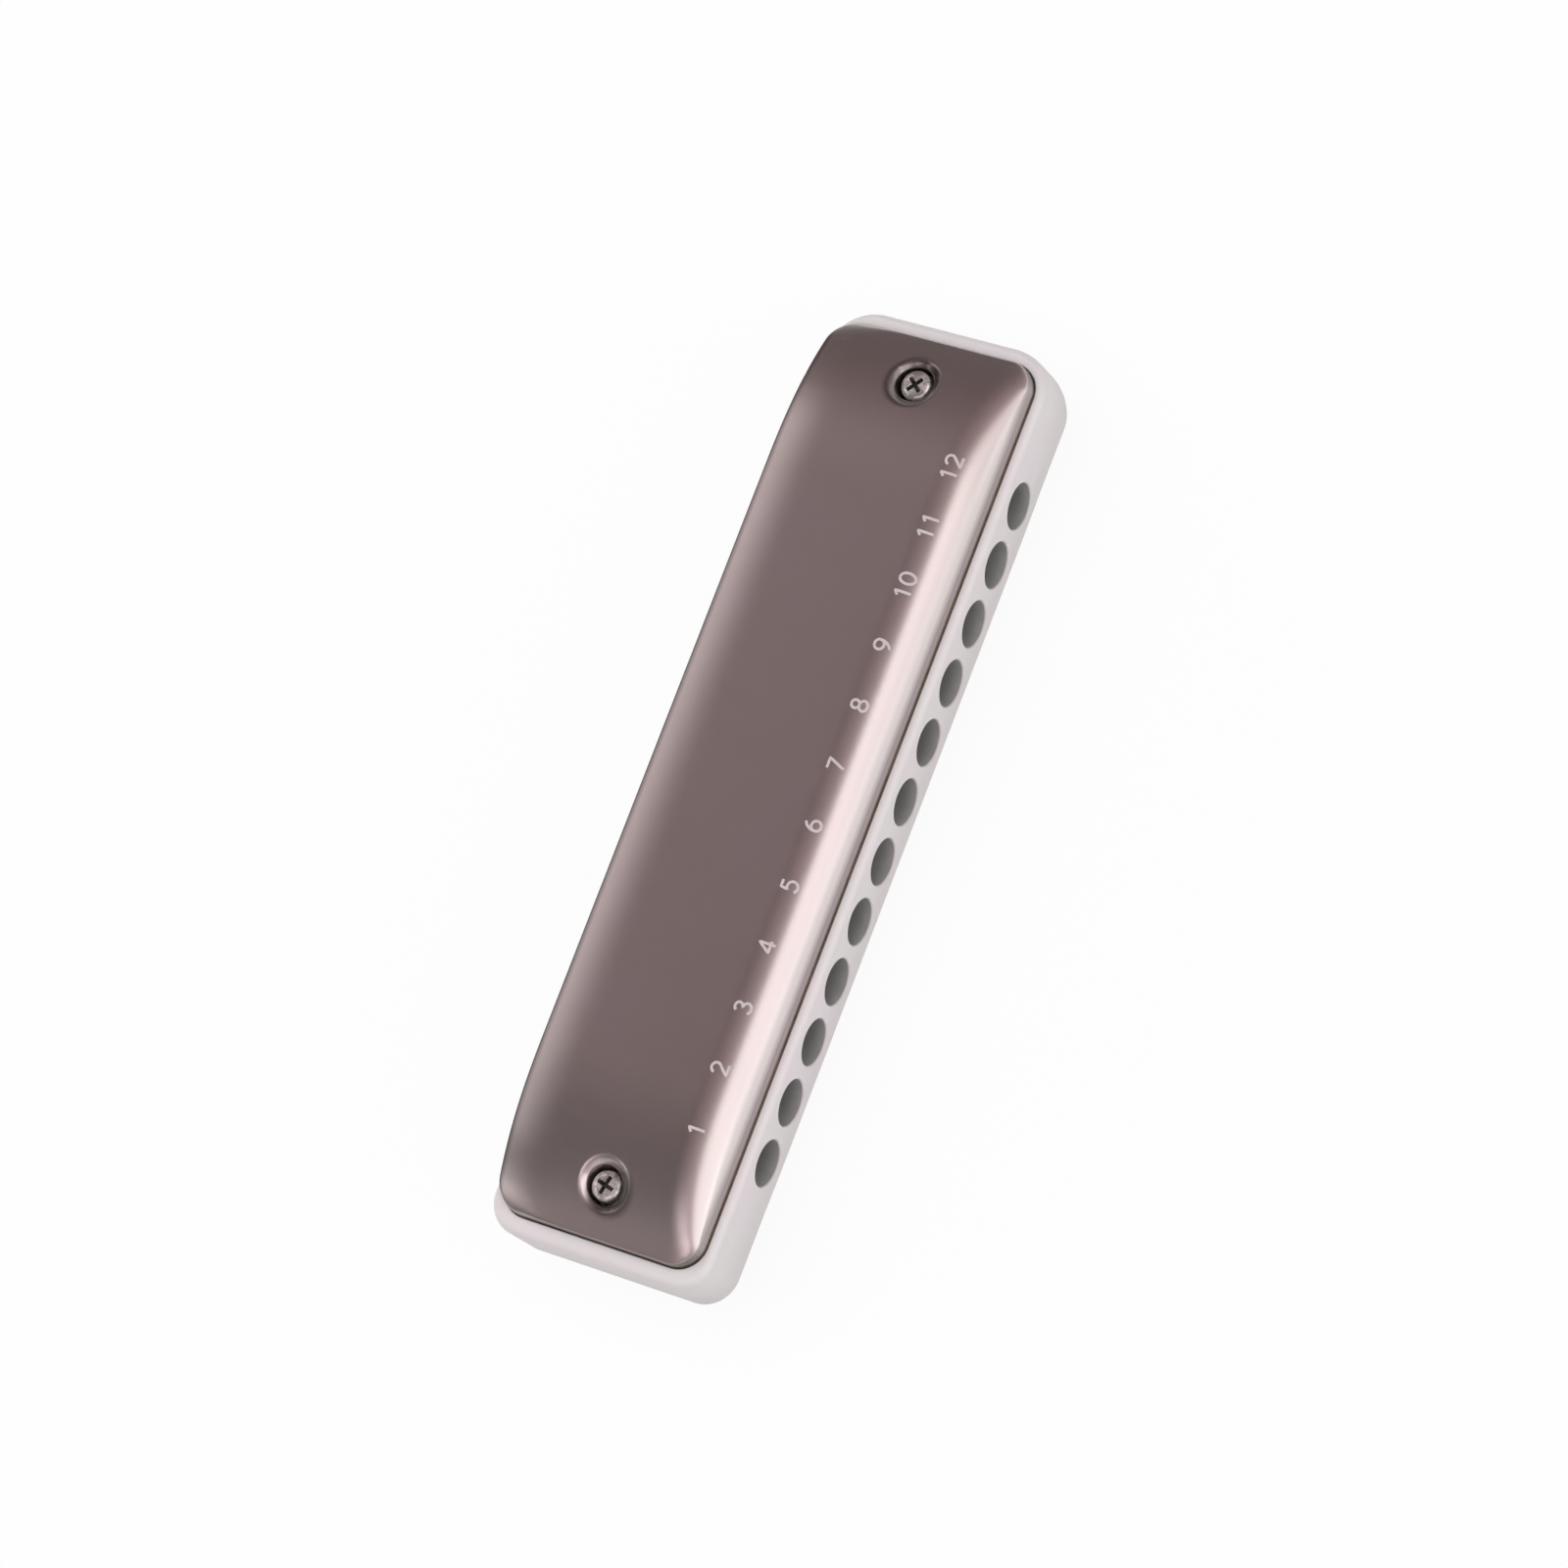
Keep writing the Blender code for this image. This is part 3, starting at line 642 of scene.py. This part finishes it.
def shapeCoverSheet(bm):
    columns, rows = coverColumns(), coverRows()
    bmesh.ops.create_grid(bm, x_segments=len(columns) - 1, y_segments=len(rows) - 1, size=1)
    for vert in bm.verts:
        column = columns[round((vert.co.x + 1) / 2 * (len(columns) - 1))]
        flat, curved = rows[round((vert.co.y + 1) / 2 * (len(rows) - 1))]
        vert.co.x, vert.co.y = column, flat + (curved - flat) * endShare(column)
    pocketFaces = []
    for face in bm.faces:
        along, across = screwOffset(*face.calc_center_median().xy)
        if max(abs(along), abs(across)) < cover["pocket"]:
            pocketFaces.append(face)
    bmesh.ops.delete(bm, geom=pocketFaces, context="FACES")
    for vert in bm.verts:
        placeCoverVert(vert)


def placeCoverVert(vert):
    side = math.copysign(1, vert.co.x)
    along, across = screwOffset(*vert.co.xy)
    square = max(abs(along), abs(across))
    if 0 < square < cover["patch"]:  # square rings of the patch become round ones
        ease = 1 - softStep(cover["roundPatch"], cover["patch"], square)
        scale = 1 + (square / math.hypot(along, across) - 1) * ease
        vert.co.x = side * (fastenerPlaces["screwX"] + along * scale)
        vert.co.y = across * scale
    along = abs(vert.co.x) - cover["halfLength"] + cover["corner"]
    across = abs(vert.co.y) - cover["halfDepth"] + cover["corner"]
    if along > 0 and across > 0:  # square corners become round ones
        scale = max(along, across) / math.hypot(along, across)
        vert.co.x += side * along * (scale - 1)
        vert.co.y += math.copysign(across * (scale - 1), vert.co.y * (scale - 1))
    along, across = screwOffset(*vert.co.xy)
    radius = math.hypot(along, across - cover["dimpleShift"])  # pressed a little towards the mouth side
    sink = min(max((cover["dimple"] - radius) / (cover["dimple"] - cover["pocket"]), 0), 1)
    vert.co.z = coverHeight(*vert.co.xy) - cover["dimpleDepth"] * sink ** cover["dimplePower"]


def drawOut(bm, edges, move):
    grown = bmesh.ops.extrude_edge_only(bm, edges=edges)["geom"]
    for vert in (item for item in grown if isinstance(item, bmesh.types.BMVert)):
        move(vert)
    return [item for item in grown if isinstance(item, bmesh.types.BMEdge) and item.is_boundary]


def nearFoot(vert):
    lip = cover["lip"] + (cover["skirt"] - cover["lip"]) * (1 - endShare(vert.co.x))
    foot = max(vert.co.z - lip, cover["seat"]) if vert.co.y > 0 else cover["seat"]
    vert.co.z = foot + cover["footEdge"]


def toFoot(vert):
    vert.co.z -= cover["footEdge"]


def toFloor(vert):
    vert.co.z = cover["pocketFloor"]


def toBore(vert):
    along, across = screwOffset(*vert.co.xy)
    scale = fastenerPlaces["screwBore"] / math.hypot(along, across)
    vert.co.x = math.copysign(fastenerPlaces["screwX"] + along * scale, vert.co.x)
    vert.co.y = across * scale


def makeCover(name, node, turned):
    bm = bmesh.new()
    shapeCoverSheet(bm)
    edges = [edge for edge in bm.edges if edge.is_boundary]
    pocketEdges = []
    for edge in edges:
        if math.hypot(*screwOffset(*edge.verts[0].co.xy)) < cover["roundPatch"]:
            pocketEdges.append(edge)
    outline = [edge for edge in edges if edge not in pocketEdges]
    drawOut(bm, drawOut(bm, outline, nearFoot), toFoot)
    floorEdges = drawOut(bm, pocketEdges, toFloor)
    drawOut(bm, floorEdges, toBore)
    softenEdges(bm, outline, *cover["crease"])
    softenEdges(bm, pocketEdges, *cover["pocketRim"])
    softenEdges(bm, floorEdges, *cover["pocketCorner"])
    bmesh.ops.recalc_face_normals(bm, faces=bm.faces)
    crown = max(bm.faces, key=lambda face: face.calc_area())
    if crown.normal.z < 0:
        bmesh.ops.reverse_faces(bm, faces=bm.faces)
    if turned:
        halfTurn = Matrix.Rotation(math.pi, 3, "Y")
        bmesh.ops.rotate(bm, verts=bm.verts, cent=(0, 0, combMiddle), matrix=halfTurn)
    piece = finishPiece(name, bm, coverSatin, node, sharp=40)
    sheet = piece.modifiers.new("sheet", "SOLIDIFY")
    sheet.thickness = cover["sheet"] * mm
    sheet.offset = -1
    sheet.use_even_offset = True
    keepFlatsFlat(piece)
    print(name, len(piece.data.polygons), "faces before its thickness")


makeCover("upper_cover_pressed", "upper_cover", False)
makeCover("lower_cover_pressed", "lower_cover", True)


numbers = {
    "height": 1.9, "width": 2.15, "digitWidth": 0.62, "gap": 0.4, "middleY": -9.5,
    "stroke": 0.165, "strokeRoundness": 2, "flatten": 0.1, "lift": 0.005,
    "arcStep": 12, "lineStep": 0.06,
}
# centre-line strokes in a box of 1 by 1: a pair is a point, six numbers are an arc (middle, radii, angles)
numberStrokes = {
    "0": [[(0.31, 0.5, 0.30, 0.5, 0, 360)]],
    "1": [[(0.10, 0.78), (0.34, 1.0), (0.34, 0.0)]],
    "2": [[(0.29, 0.71, 0.27, 0.29, 170, -38), (0.02, 0.0), (0.60, 0.0)]],
    "3": [[(0.28, 0.76, 0.24, 0.24, 155, -90), (0.28, 0.26, 0.29, 0.26, 90, -155)]],
    "4": [[(0.46, 0.0), (0.46, 1.0), (0.0, 0.28), (0.64, 0.28)]],
    "5": [[(0.54, 1.0), (0.14, 1.0), (0.09, 0.56), (0.27, 0.32, 0.30, 0.32, 126, -148)]],
    "6": [[(0.31, 0.30, 0.28, 0.30, 0, 360)], [(0.67, 0.30, 0.64, 0.76, 180, 112)]],
    "7": [[(0.02, 1.0), (0.60, 1.0), (0.20, 0.0)]],
    "8": [[(0.31, 0.75, 0.23, 0.25, 0, 360)], [(0.31, 0.25, 0.29, 0.25, 0, 360)]],
    "9": [[(0.31, 0.70, 0.28, 0.30, 0, 360)], [(-0.05, 0.70, 0.64, 0.76, 0, -68)]],
}


def strokePoints(stroke):
    points = []
    for item in stroke:
        if len(item) == 2:  # a straight run is cut short enough to follow the roll of the cover
            if points:
                x, y = points[-1]
                steps = max(1, round(math.dist(item, (x, y)) / numbers["lineStep"]))
                points += zip(spread(x, item[0], steps), spread(y, item[1], steps))
            else:
                points.append(item)
            continue
        x, y, wide, tall, start, end = item
        steps = max(2, round(abs(end - start) / numbers["arcStep"]))
        for angle in [start] + spread(start, end, steps):
            turn = math.radians(angle)
            points.append((x + wide * math.cos(turn), y + tall * math.sin(turn)))
    return points


def addDigit(curve, digit, left):
    for stroke in numberStrokes[digit]:
        points = strokePoints(stroke)
        closed = math.dist(points[0], points[-1]) < weldGap
        if closed:
            points.pop()
        spline = curve.splines.new("POLY")
        spline.use_cyclic_u = closed
        spline.points.add(len(points) - 1)
        for target, (x, y) in zip(spline.points, points):
            place = (left + x * numbers["width"], numbers["middleY"] + (y - 0.5) * numbers["height"])
            target.co = (*place, 0, 1)


def makeNumbers():
    curve = bpy.data.curves.new("strokes", "CURVE")
    curve.dimensions = "3D"
    curve.bevel_depth = numbers["stroke"]
    curve.bevel_resolution = numbers["strokeRoundness"]
    curve.use_fill_caps = True
    step = numbers["digitWidth"] * numbers["width"] + numbers["gap"]
    for number, x in enumerate(holePlaces, 1):
        digits = str(number)
        left = x - (step * len(digits) - numbers["gap"]) / 2
        for k, digit in enumerate(digits):
            addDigit(curve, digit, left + k * step)
    holder = bpy.data.objects.new("strokes", curve)
    scene.collection.objects.link(holder)
    bm = bakeShape(holder)
    for vert in bm.verts:
        raised = numbers["lift"] + vert.co.z * numbers["flatten"]
        vert.co.z = coverHeight(vert.co.x, vert.co.y) + raised
    bmesh.ops.recalc_face_normals(bm, faces=bm.faces)
    finishPiece("hole_numbers", bm, markInk, None)
    print("numbers drawn on the upper cover")


makeNumbers()


ranks = {
    "blow": {"hinge": 7.65, "way": -1, "reedZ": 13.55, "plateLow": 13.9, "plateNode": "blow_reed_plate"},
    "draw": {"hinge": -7.15, "way": 1, "reedZ": 5.65, "plateLow": 6.0, "plateNode": "draw_reed_plate"},
}
reed = {
    "padWidth": 2.8, "padLength": 3.2, "padChamfer": 0.4, "width": 2.1, "tipWidth": 1.9,
    "thickness": 0.3, "edge": (0.03, 2), "longest": 14.5, "shortShare": 0.56, "stations": 14,
    "grind": 0.1, "grindStart": (0.04, 0.3), "grindEnd": (0.72, 0.95),  # shares of the tongue's length
}
lastHole = len(holePlaces) - 1
tongueLengths = [reed["longest"] * reed["shortShare"] ** (k / lastHole) for k in range(lastHole + 1)]


def makeReed(tongue):
    pad, chamfer, half = reed["padLength"] / 2, reed["padChamfer"], reed["padWidth"] / 2
    right = [
        (half - chamfer, -pad), (half, chamfer - pad), (half, pad - chamfer),
        (reed["width"] / 2, pad), (reed["tipWidth"] / 2, pad + tongue),
    ]
    bm = bmesh.new()
    outline = right + [(-x, y) for x, y in reversed(right)]
    base = bm.faces.new([bm.verts.new((x, y, -reed["thickness"] / 2)) for x, y in outline])
    grown = bmesh.ops.extrude_face_region(bm, geom=[base])["geom"]
    top = [item for item in grown if isinstance(item, bmesh.types.BMVert)]
    bmesh.ops.translate(bm, verts=top, vec=(0, 0, reed["thickness"]))
    bmesh.ops.recalc_face_normals(bm, faces=bm.faces)
    softenEdges(bm, [edge for edge in bm.edges if isLevel(edge)], *reed["edge"])
    for share in spread(0, 1, reed["stations"])[:-1]:
        everything = bm.verts[:] + bm.edges[:] + bm.faces[:]
        place = (0, pad + share * tongue, 0)
        bmesh.ops.bisect_plane(bm, geom=everything, dist=weldGap, plane_co=place, plane_no=(0, 1, 0))
    for vert in bm.verts:  # the tongue is ground thin between its root and its tip
        share = (vert.co.y - pad) / tongue
        if vert.co.z < 0:
            ground = softStep(*reed["grindStart"], share) * (1 - softStep(*reed["grindEnd"], share))
            vert.co.z += reed["grind"] * ground
    tool = bmesh.new()
    addPin(tool, 0, 0, plate["rivetBore"], -overrun, overrun, plate["rivetBoreSteps"])
    return cutAway(bm, tool)


rivet = {
    "under": -0.25, "over": 1.35, "shaft": 0.5, "head": 0.85,
    "underHeight": 0.4, "overHeight": 0.3, "domeSteps": 6, "steps": 24,
}


def makeRivet():
    under, over, head, steps = rivet["under"], rivet["over"], rivet["head"], rivet["domeSteps"]
    low, high = under - rivet["underHeight"], over + rivet["overHeight"]
    profile = [(0, low)] + roundOver(head, under, 0, low, steps)[::-1][1:]
    profile += [(rivet["shaft"], under), (rivet["shaft"], over)]
    profile += roundOver(head, over, 0, high, steps)
    return turnProfile(profile, rivet["steps"])


plate = {
    "length": 113.0, "depth": 26.9, "corner": 3.5, "cornerSteps": 12, "thickness": 0.9,
    "edge": 0.05, "edgeAngle": 30,
    "slotHalf": 1.25, "slotSpare": 0.2, "rivetBore": 0.6, "rivetBoreSteps": 20,
}


def makePlate(rank, look):
    low, high = look["plateLow"], look["plateLow"] + plate["thickness"]
    under, over = low - overrun, high + overrun
    bm = bmesh.new()
    addRoundedBlock(bm, plate["length"], plate["depth"], low, high, plate["corner"], plate["cornerSteps"])
    tool = bmesh.new()
    half = plate["slotHalf"]
    root = look["hinge"] + look["way"] * reed["padLength"] / 2
    for x, tongue in zip(holePlaces, tongueLengths):
        tip = root + look["way"] * (tongue + plate["slotSpare"])
        addBlock(tool, (x - half, min(root, tip), under), (x + half, max(root, tip), over))
        addPin(tool, x, look["hinge"], plate["rivetBore"], under, over, plate["rivetBoreSteps"])
    addFastenerBores(tool, under, over)
    bm = cutAway(bm, tool)
    piece = finishPiece(rank + "_plate_punched", bm, plateBrass, look["plateNode"])
    breakEdges(piece, plate["edge"], plate["edgeAngle"])


def makeRank(rank, look):
    makePlate(rank, look)
    turn = Matrix.Rotation(0 if look["way"] > 0 else math.pi, 4, "Z")
    for number, (x, tongue) in enumerate(zip(holePlaces, tongueLengths), 1):
        place = Matrix.Translation((x, look["hinge"], look["reedZ"]))
        node = "%s_reed_%02d" % (rank, number)
        bm = makeReed(tongue)
        bmesh.ops.transform(bm, matrix=place @ turn, verts=bm.verts)
        finishPiece(node + "_ground", bm, reedBrass, node, body=node)
        node = "%s_rivet_%02d" % (rank, number)
        bm = makeRivet()
        bmesh.ops.transform(bm, matrix=place, verts=bm.verts)
        finishPiece(node + "_domed", bm, rivetBrass, node)
    print(rank, "plate with", len(holePlaces), "reeds and rivets")


for rank, look in ranks.items():
    makeRank(rank, look)


# turned grooves of a thread, from its start up to the plain shank

def threadProfile(look, start):
    points, height = [], start
    while height < look["threadTop"]:
        points += [(look["shaft"], height), (look["shaft"] - look["thread"], height + look["pitch"] / 2)]
        height += look["pitch"]
    return points + [(look["shaft"], height)]


def finishFastener(bm, node, x, y, rounding):
    bmesh.ops.translate(bm, verts=bm.verts, vec=(x, y, 0))
    piece = finishPiece(node + "_turned", bm, screwNickel, node)
    breakEdges(piece, rounding)
    return piece


coverScrew = {
    "tip": 3.9, "point": 0.25, "shaft": 1.0, "thread": 0.12, "pitch": 0.4, "threadTop": 14.5,
    "headLow": 15.5, "headSide": 17.5, "headTop": 18.0, "head": 1.88, "headFlat": 0.9, "headChamfer": 0.1,
    "wingLong": 1.25, "wingThin": 0.26, "longTaper": 0.6, "thinTaper": 0.75,
    "wingDepth": 1.2, "wingOver": 0.3, "crossLow": 16.0, "crossTop": 17.94,
    "steps": 48, "domeSteps": 7, "rounding": 0.05,
    "turns": {"left": -14.7, "right": -40.5},  # where each cross stopped when it was driven home
}


def makeCoverScrew(side, x):
    look = coverScrew
    shaft, head, chamfer = look["shaft"], look["head"], look["headChamfer"]
    headLow, headTop = look["headLow"], look["headTop"]
    profile = [(0, look["tip"]), (shaft - look["point"], look["tip"])]
    profile += threadProfile(look, look["tip"] + look["point"])
    profile += [(shaft, headLow), (head - chamfer, headLow), (head, headLow + chamfer)]
    profile += roundOver(head, look["headSide"], look["headFlat"], headTop, look["domeSteps"])
    profile += [(0, headTop)]
    tool = bmesh.new()
    low, high = headTop - look["wingDepth"], headTop + look["wingOver"]
    reach, thin = look["wingLong"], look["wingThin"]
    for turn in (look["turns"][side], look["turns"][side] + 90):  # two tapered wings of the cross drive
        verts = addBlock(tool, (-reach, -thin, low), (reach, thin, high))
        for vert in verts:
            if vert.co.z < headTop:
                vert.co.x *= look["longTaper"]
                vert.co.y *= look["thinTaper"]
        spin = Matrix.Rotation(math.radians(turn), 3, "Z")
        bmesh.ops.rotate(tool, verts=verts, cent=(0, 0, 0), matrix=spin)
    bm = cutAway(turnProfile(profile, look["steps"]), tool)
    for face in bm.faces:  # painted shade: the faces inside the cross get a near-black finish standing in for the shade in the recess
        middle = face.calc_center_median()
        if middle.xy.length < reach and look["crossLow"] < middle.z < look["crossTop"]:
            face.material_index = 1
    piece = finishFastener(bm, "cover_screw_" + side, x, 0, look["rounding"])
    piece.data.materials.append(recessShadeFinish)


coverNut = {
    "bore": 1.1, "rim": 1.95, "low": 3.7, "high": 5.3, "edge": 0.25,
    "slotHalf": 0.35, "slotDepth": 0.53, "steps": 48, "rounding": 0.06,
}


def makeCoverNut(side, x):
    look = coverNut
    bore, rim, low, high = look["bore"], look["rim"], look["low"], look["high"]
    profile = [(bore, low), (rim - look["edge"], low), (rim, low + look["edge"]), (rim, high), (bore, high)]
    half, reach = look["slotHalf"], 2 * rim
    tool = bmesh.new()
    addBlock(tool, (-half, -reach, low - overrun), (half, reach, low + look["slotDepth"]))
    bm = cutAway(turnProfile(profile, look["steps"], closed=True), tool)
    finishFastener(bm, "cover_nut_" + side, x, 0, look["rounding"])


plateScrew = {
    "tip": 6.0, "shaft": 0.8, "thread": 0.1, "pitch": 0.35, "threadTop": 14.0,
    "headLow": 14.9, "headSide": 15.4, "headTop": 15.7, "head": 1.3, "headFlat": 0.91,
    "slotHalf": 0.25, "slotDepth": 0.4, "steps": 36, "domeSteps": 5, "rounding": 0.05,
}


def makePlateScrew(side, x, y):
    look = plateScrew
    head, headTop = look["head"], look["headTop"]
    profile = [(0, look["tip"]), (look["shaft"], look["tip"])]
    profile += threadProfile(look, look["tip"] + look["pitch"])
    profile += [(look["shaft"], look["headLow"]), (head, look["headLow"])]
    profile += roundOver(head, look["headSide"], look["headFlat"], headTop, look["domeSteps"])
    profile += [(0, headTop)]
    half, reach = look["slotHalf"], 2 * head
    tool = bmesh.new()
    addBlock(tool, (-reach, -half, headTop - look["slotDepth"]), (reach, half, headTop + overrun))
    bm = cutAway(turnProfile(profile, look["steps"]), tool)
    finishFastener(bm, "plate_screw_" + side, x, y, look["rounding"])


for side, x in sides.items():
    makeCoverScrew(side, x)
    makeCoverNut(side, x)
for side, (x, y) in fastenerPlaces["plateScrews"].items():
    makePlateScrew(side, x, y)
print("fasteners turned and slotted")


# floor, light and camera, in metres
floorLook = {
    "size": 6.0, "cells": 8, "colour": (0.74, 0.74, 0.74, 1), "roughness": 0.9,
    "glow": (0.92, 1.0), "glowReach": (0.2, 0.8),
}


def makeFloor():
    bm = bmesh.new()
    cells = floorLook["cells"]
    bmesh.ops.create_grid(bm, x_segments=cells, y_segments=cells, size=floorLook["size"] / 2)
    floor = linkMesh("floor", bm)
    material = bpy.data.materials.new("paleFloor")
    material.use_nodes = True
    tree = material.node_tree
    shader = tree.nodes["Principled BSDF"]
    shader.inputs["Base Color"].default_value = floorLook["colour"]
    shader.inputs["Roughness"].default_value = floorLook["roughness"]
    shader.inputs["Specular IOR Level"].default_value = 0.0
    rays = addNode(tree, "LightPath").outputs
    seen = calculate(tree, "MAXIMUM", rays["Is Camera Ray"], rays["Is Glossy Ray"])
    seen = calculate(tree, "MAXIMUM", seen, rays["Is Transmission Ray"])
    place = addNode(tree, "TexCoord").outputs["Object"]
    away = addNode(tree, "VectorMath", {0: place}, operation="LENGTH").outputs["Value"]
    glow = remap(tree, away, *floorLook["glow"], *floorLook["glowReach"])
    share = calculate(tree, "MULTIPLY", seen, glow)
    white = addNode(tree, "Emission", {"Color": (1, 1, 1, 1), "Strength": 1.0})
    both = addNode(tree, "MixShader", {0: share, 1: shader.outputs[0], 2: white.outputs[0]})
    tree.links.new(both.outputs[0], tree.nodes["Material Output"].inputs["Surface"])
    floor.data.materials.append(material)


makeFloor()

dome = {
    "overhead": (  # level along X
        (-1, 0.3), (-0.74, 0.23), (-0.5, 0.03), (-0.05, 0.1),
        (0.3, 0.29), (0.6, 0.19), (0.8, 0.14), (1, 0.13)),
    "tint": (1.0, 0.76, 0.775), "rise": (0.08, 0.35),
    "horizon": (1.0, 0.12), "turn": (-0.3, 0.4),  # bright band on the mouth side, dim behind
    "glow": 0.46, "glowReach": (0.5, -0.5),  # soft spill above the mouth side
}


def makeDome():
    world = bpy.data.worlds.new("studio")
    scene.world = world
    world.use_nodes = True
    tree = world.node_tree
    way = addNode(tree, "SeparateXYZ", {0: addNode(tree, "TexCoord").outputs["Generated"]}).outputs

    def tinted(level):
        return tuple(level * part for part in dome["tint"])

    def eased(axis, reach):
        return remap(tree, way[axis], 0.0, 1.0, *reach, "SMOOTHSTEP")

    overhead = rampColour(tree, way["X"], [(along, tinted(level)) for along, level in dome["overhead"]])
    high = mixColours(tree, eased("Y", dome["glowReach"]), overhead, (*tinted(dome["glow"]), 1))
    bright, dim = ((level, level, level, 1) for level in dome["horizon"])
    low = mixColours(tree, eased("Y", dome["turn"]), bright, dim)
    colour = mixColours(tree, eased("Z", dome["rise"]), low, high)
    rays = addNode(tree, "LightPath").outputs
    colour = mixColours(tree, rays["Is Camera Ray"], colour, (1, 1, 1, 1))
    tree.links.new(colour, tree.nodes["Background"].inputs["Color"])


makeDome()

lampAim = (0, 0, 0.01)
lamps = {
    "mouth_softbox": {
        "place": (-0.1275, -0.845, 0.554), "size": (0.86, 1.1), "radiance": 1.31, "colour": (0.97, 1, 1)},
    "mouth_card": {
        "place": (0.45, -0.74, 0.51), "size": (0.34, 1.155), "radiance": 0.85, "colour": (1, 1, 1)},
    "side_softbox": {
        "place": (-0.58, -0.09, 0.81), "size": (0.45, 0.35), "radiance": 1.4, "colour": (1, 0.9, 0.94)},
    "side_card": {
        "place": (-0.57, 0.24, 0.79), "size": (0.3, 0.35), "radiance": 0.2, "colour": (1, 0.92, 0.95)},
    "back_strip": {
        "place": (0.07, 0.912, 0.825), "size": (1.08, 0.37), "radiance": 1.0, "colour": (1, 0.96, 0.97)},
    "corner_card": {
        "place": (-0.7, 0.823, 0.56), "size": (0.35, 0.26), "radiance": 1.9, "colour": (1, 0.96, 0.98)},
    "back_fill": {
        "place": (0.0, 1.15, 0.3), "size": (1.4, 0.6), "radiance": 2.0, "colour": (1, 1, 1),
        "mirrored": False},
    "overhead_fill": {
        "place": (0.0, 0.3, 1.47), "size": (1.8, 1.8), "radiance": 1.8, "colour": (1, 1, 1),
        "mirrored": False},
}


def makeLamp(name, look):
    wide, tall = look["size"]
    data = bpy.data.lights.new(name, "AREA")
    data.shape = "RECTANGLE"
    data.size, data.size_y = wide, tall
    data.energy = look["radiance"] * math.pi * wide * tall
    data.color = look["colour"]
    lamp = bpy.data.objects.new(name, data)
    lamp.location = look["place"]
    lamp.rotation_mode = "QUATERNION"
    lamp.rotation_quaternion = (Vector(lampAim) - lamp.location).to_track_quat("-Z", "Y")
    lamp.visible_camera = False
    lamp.visible_glossy = look.get("mirrored", True)
    scene.collection.objects.link(lamp)


for name, look in lamps.items():
    makeLamp(name, look)

viewpoint = {
    "aim": (0.001736, 0.000896, 0.0104), "distance": 0.76066,
    "azimuth": -20.216, "elevation": 62.287, "roll": -50.84, "lens": 149.44, "sensor": 36,
}


def makeCamera():
    azimuth, elevation = math.radians(viewpoint["azimuth"]), math.radians(viewpoint["elevation"])
    level = math.cos(elevation)
    back = Vector((math.sin(azimuth) * level, -math.cos(azimuth) * level, math.sin(elevation)))
    data = bpy.data.cameras.new("photo")
    data.sensor_width = viewpoint["sensor"]
    data.lens = viewpoint["lens"]
    camera = bpy.data.objects.new("photo", data)
    camera.location = Vector(viewpoint["aim"]) + back * viewpoint["distance"]
    camera.rotation_mode = "QUATERNION"
    roll = Quaternion((0, 0, 1), math.radians(viewpoint["roll"]))
    camera.rotation_quaternion = (-back).to_track_quat("-Z", "Y") @ roll
    scene.collection.objects.link(camera)
    scene.camera = camera


makeCamera()
print("floor, light and camera set")
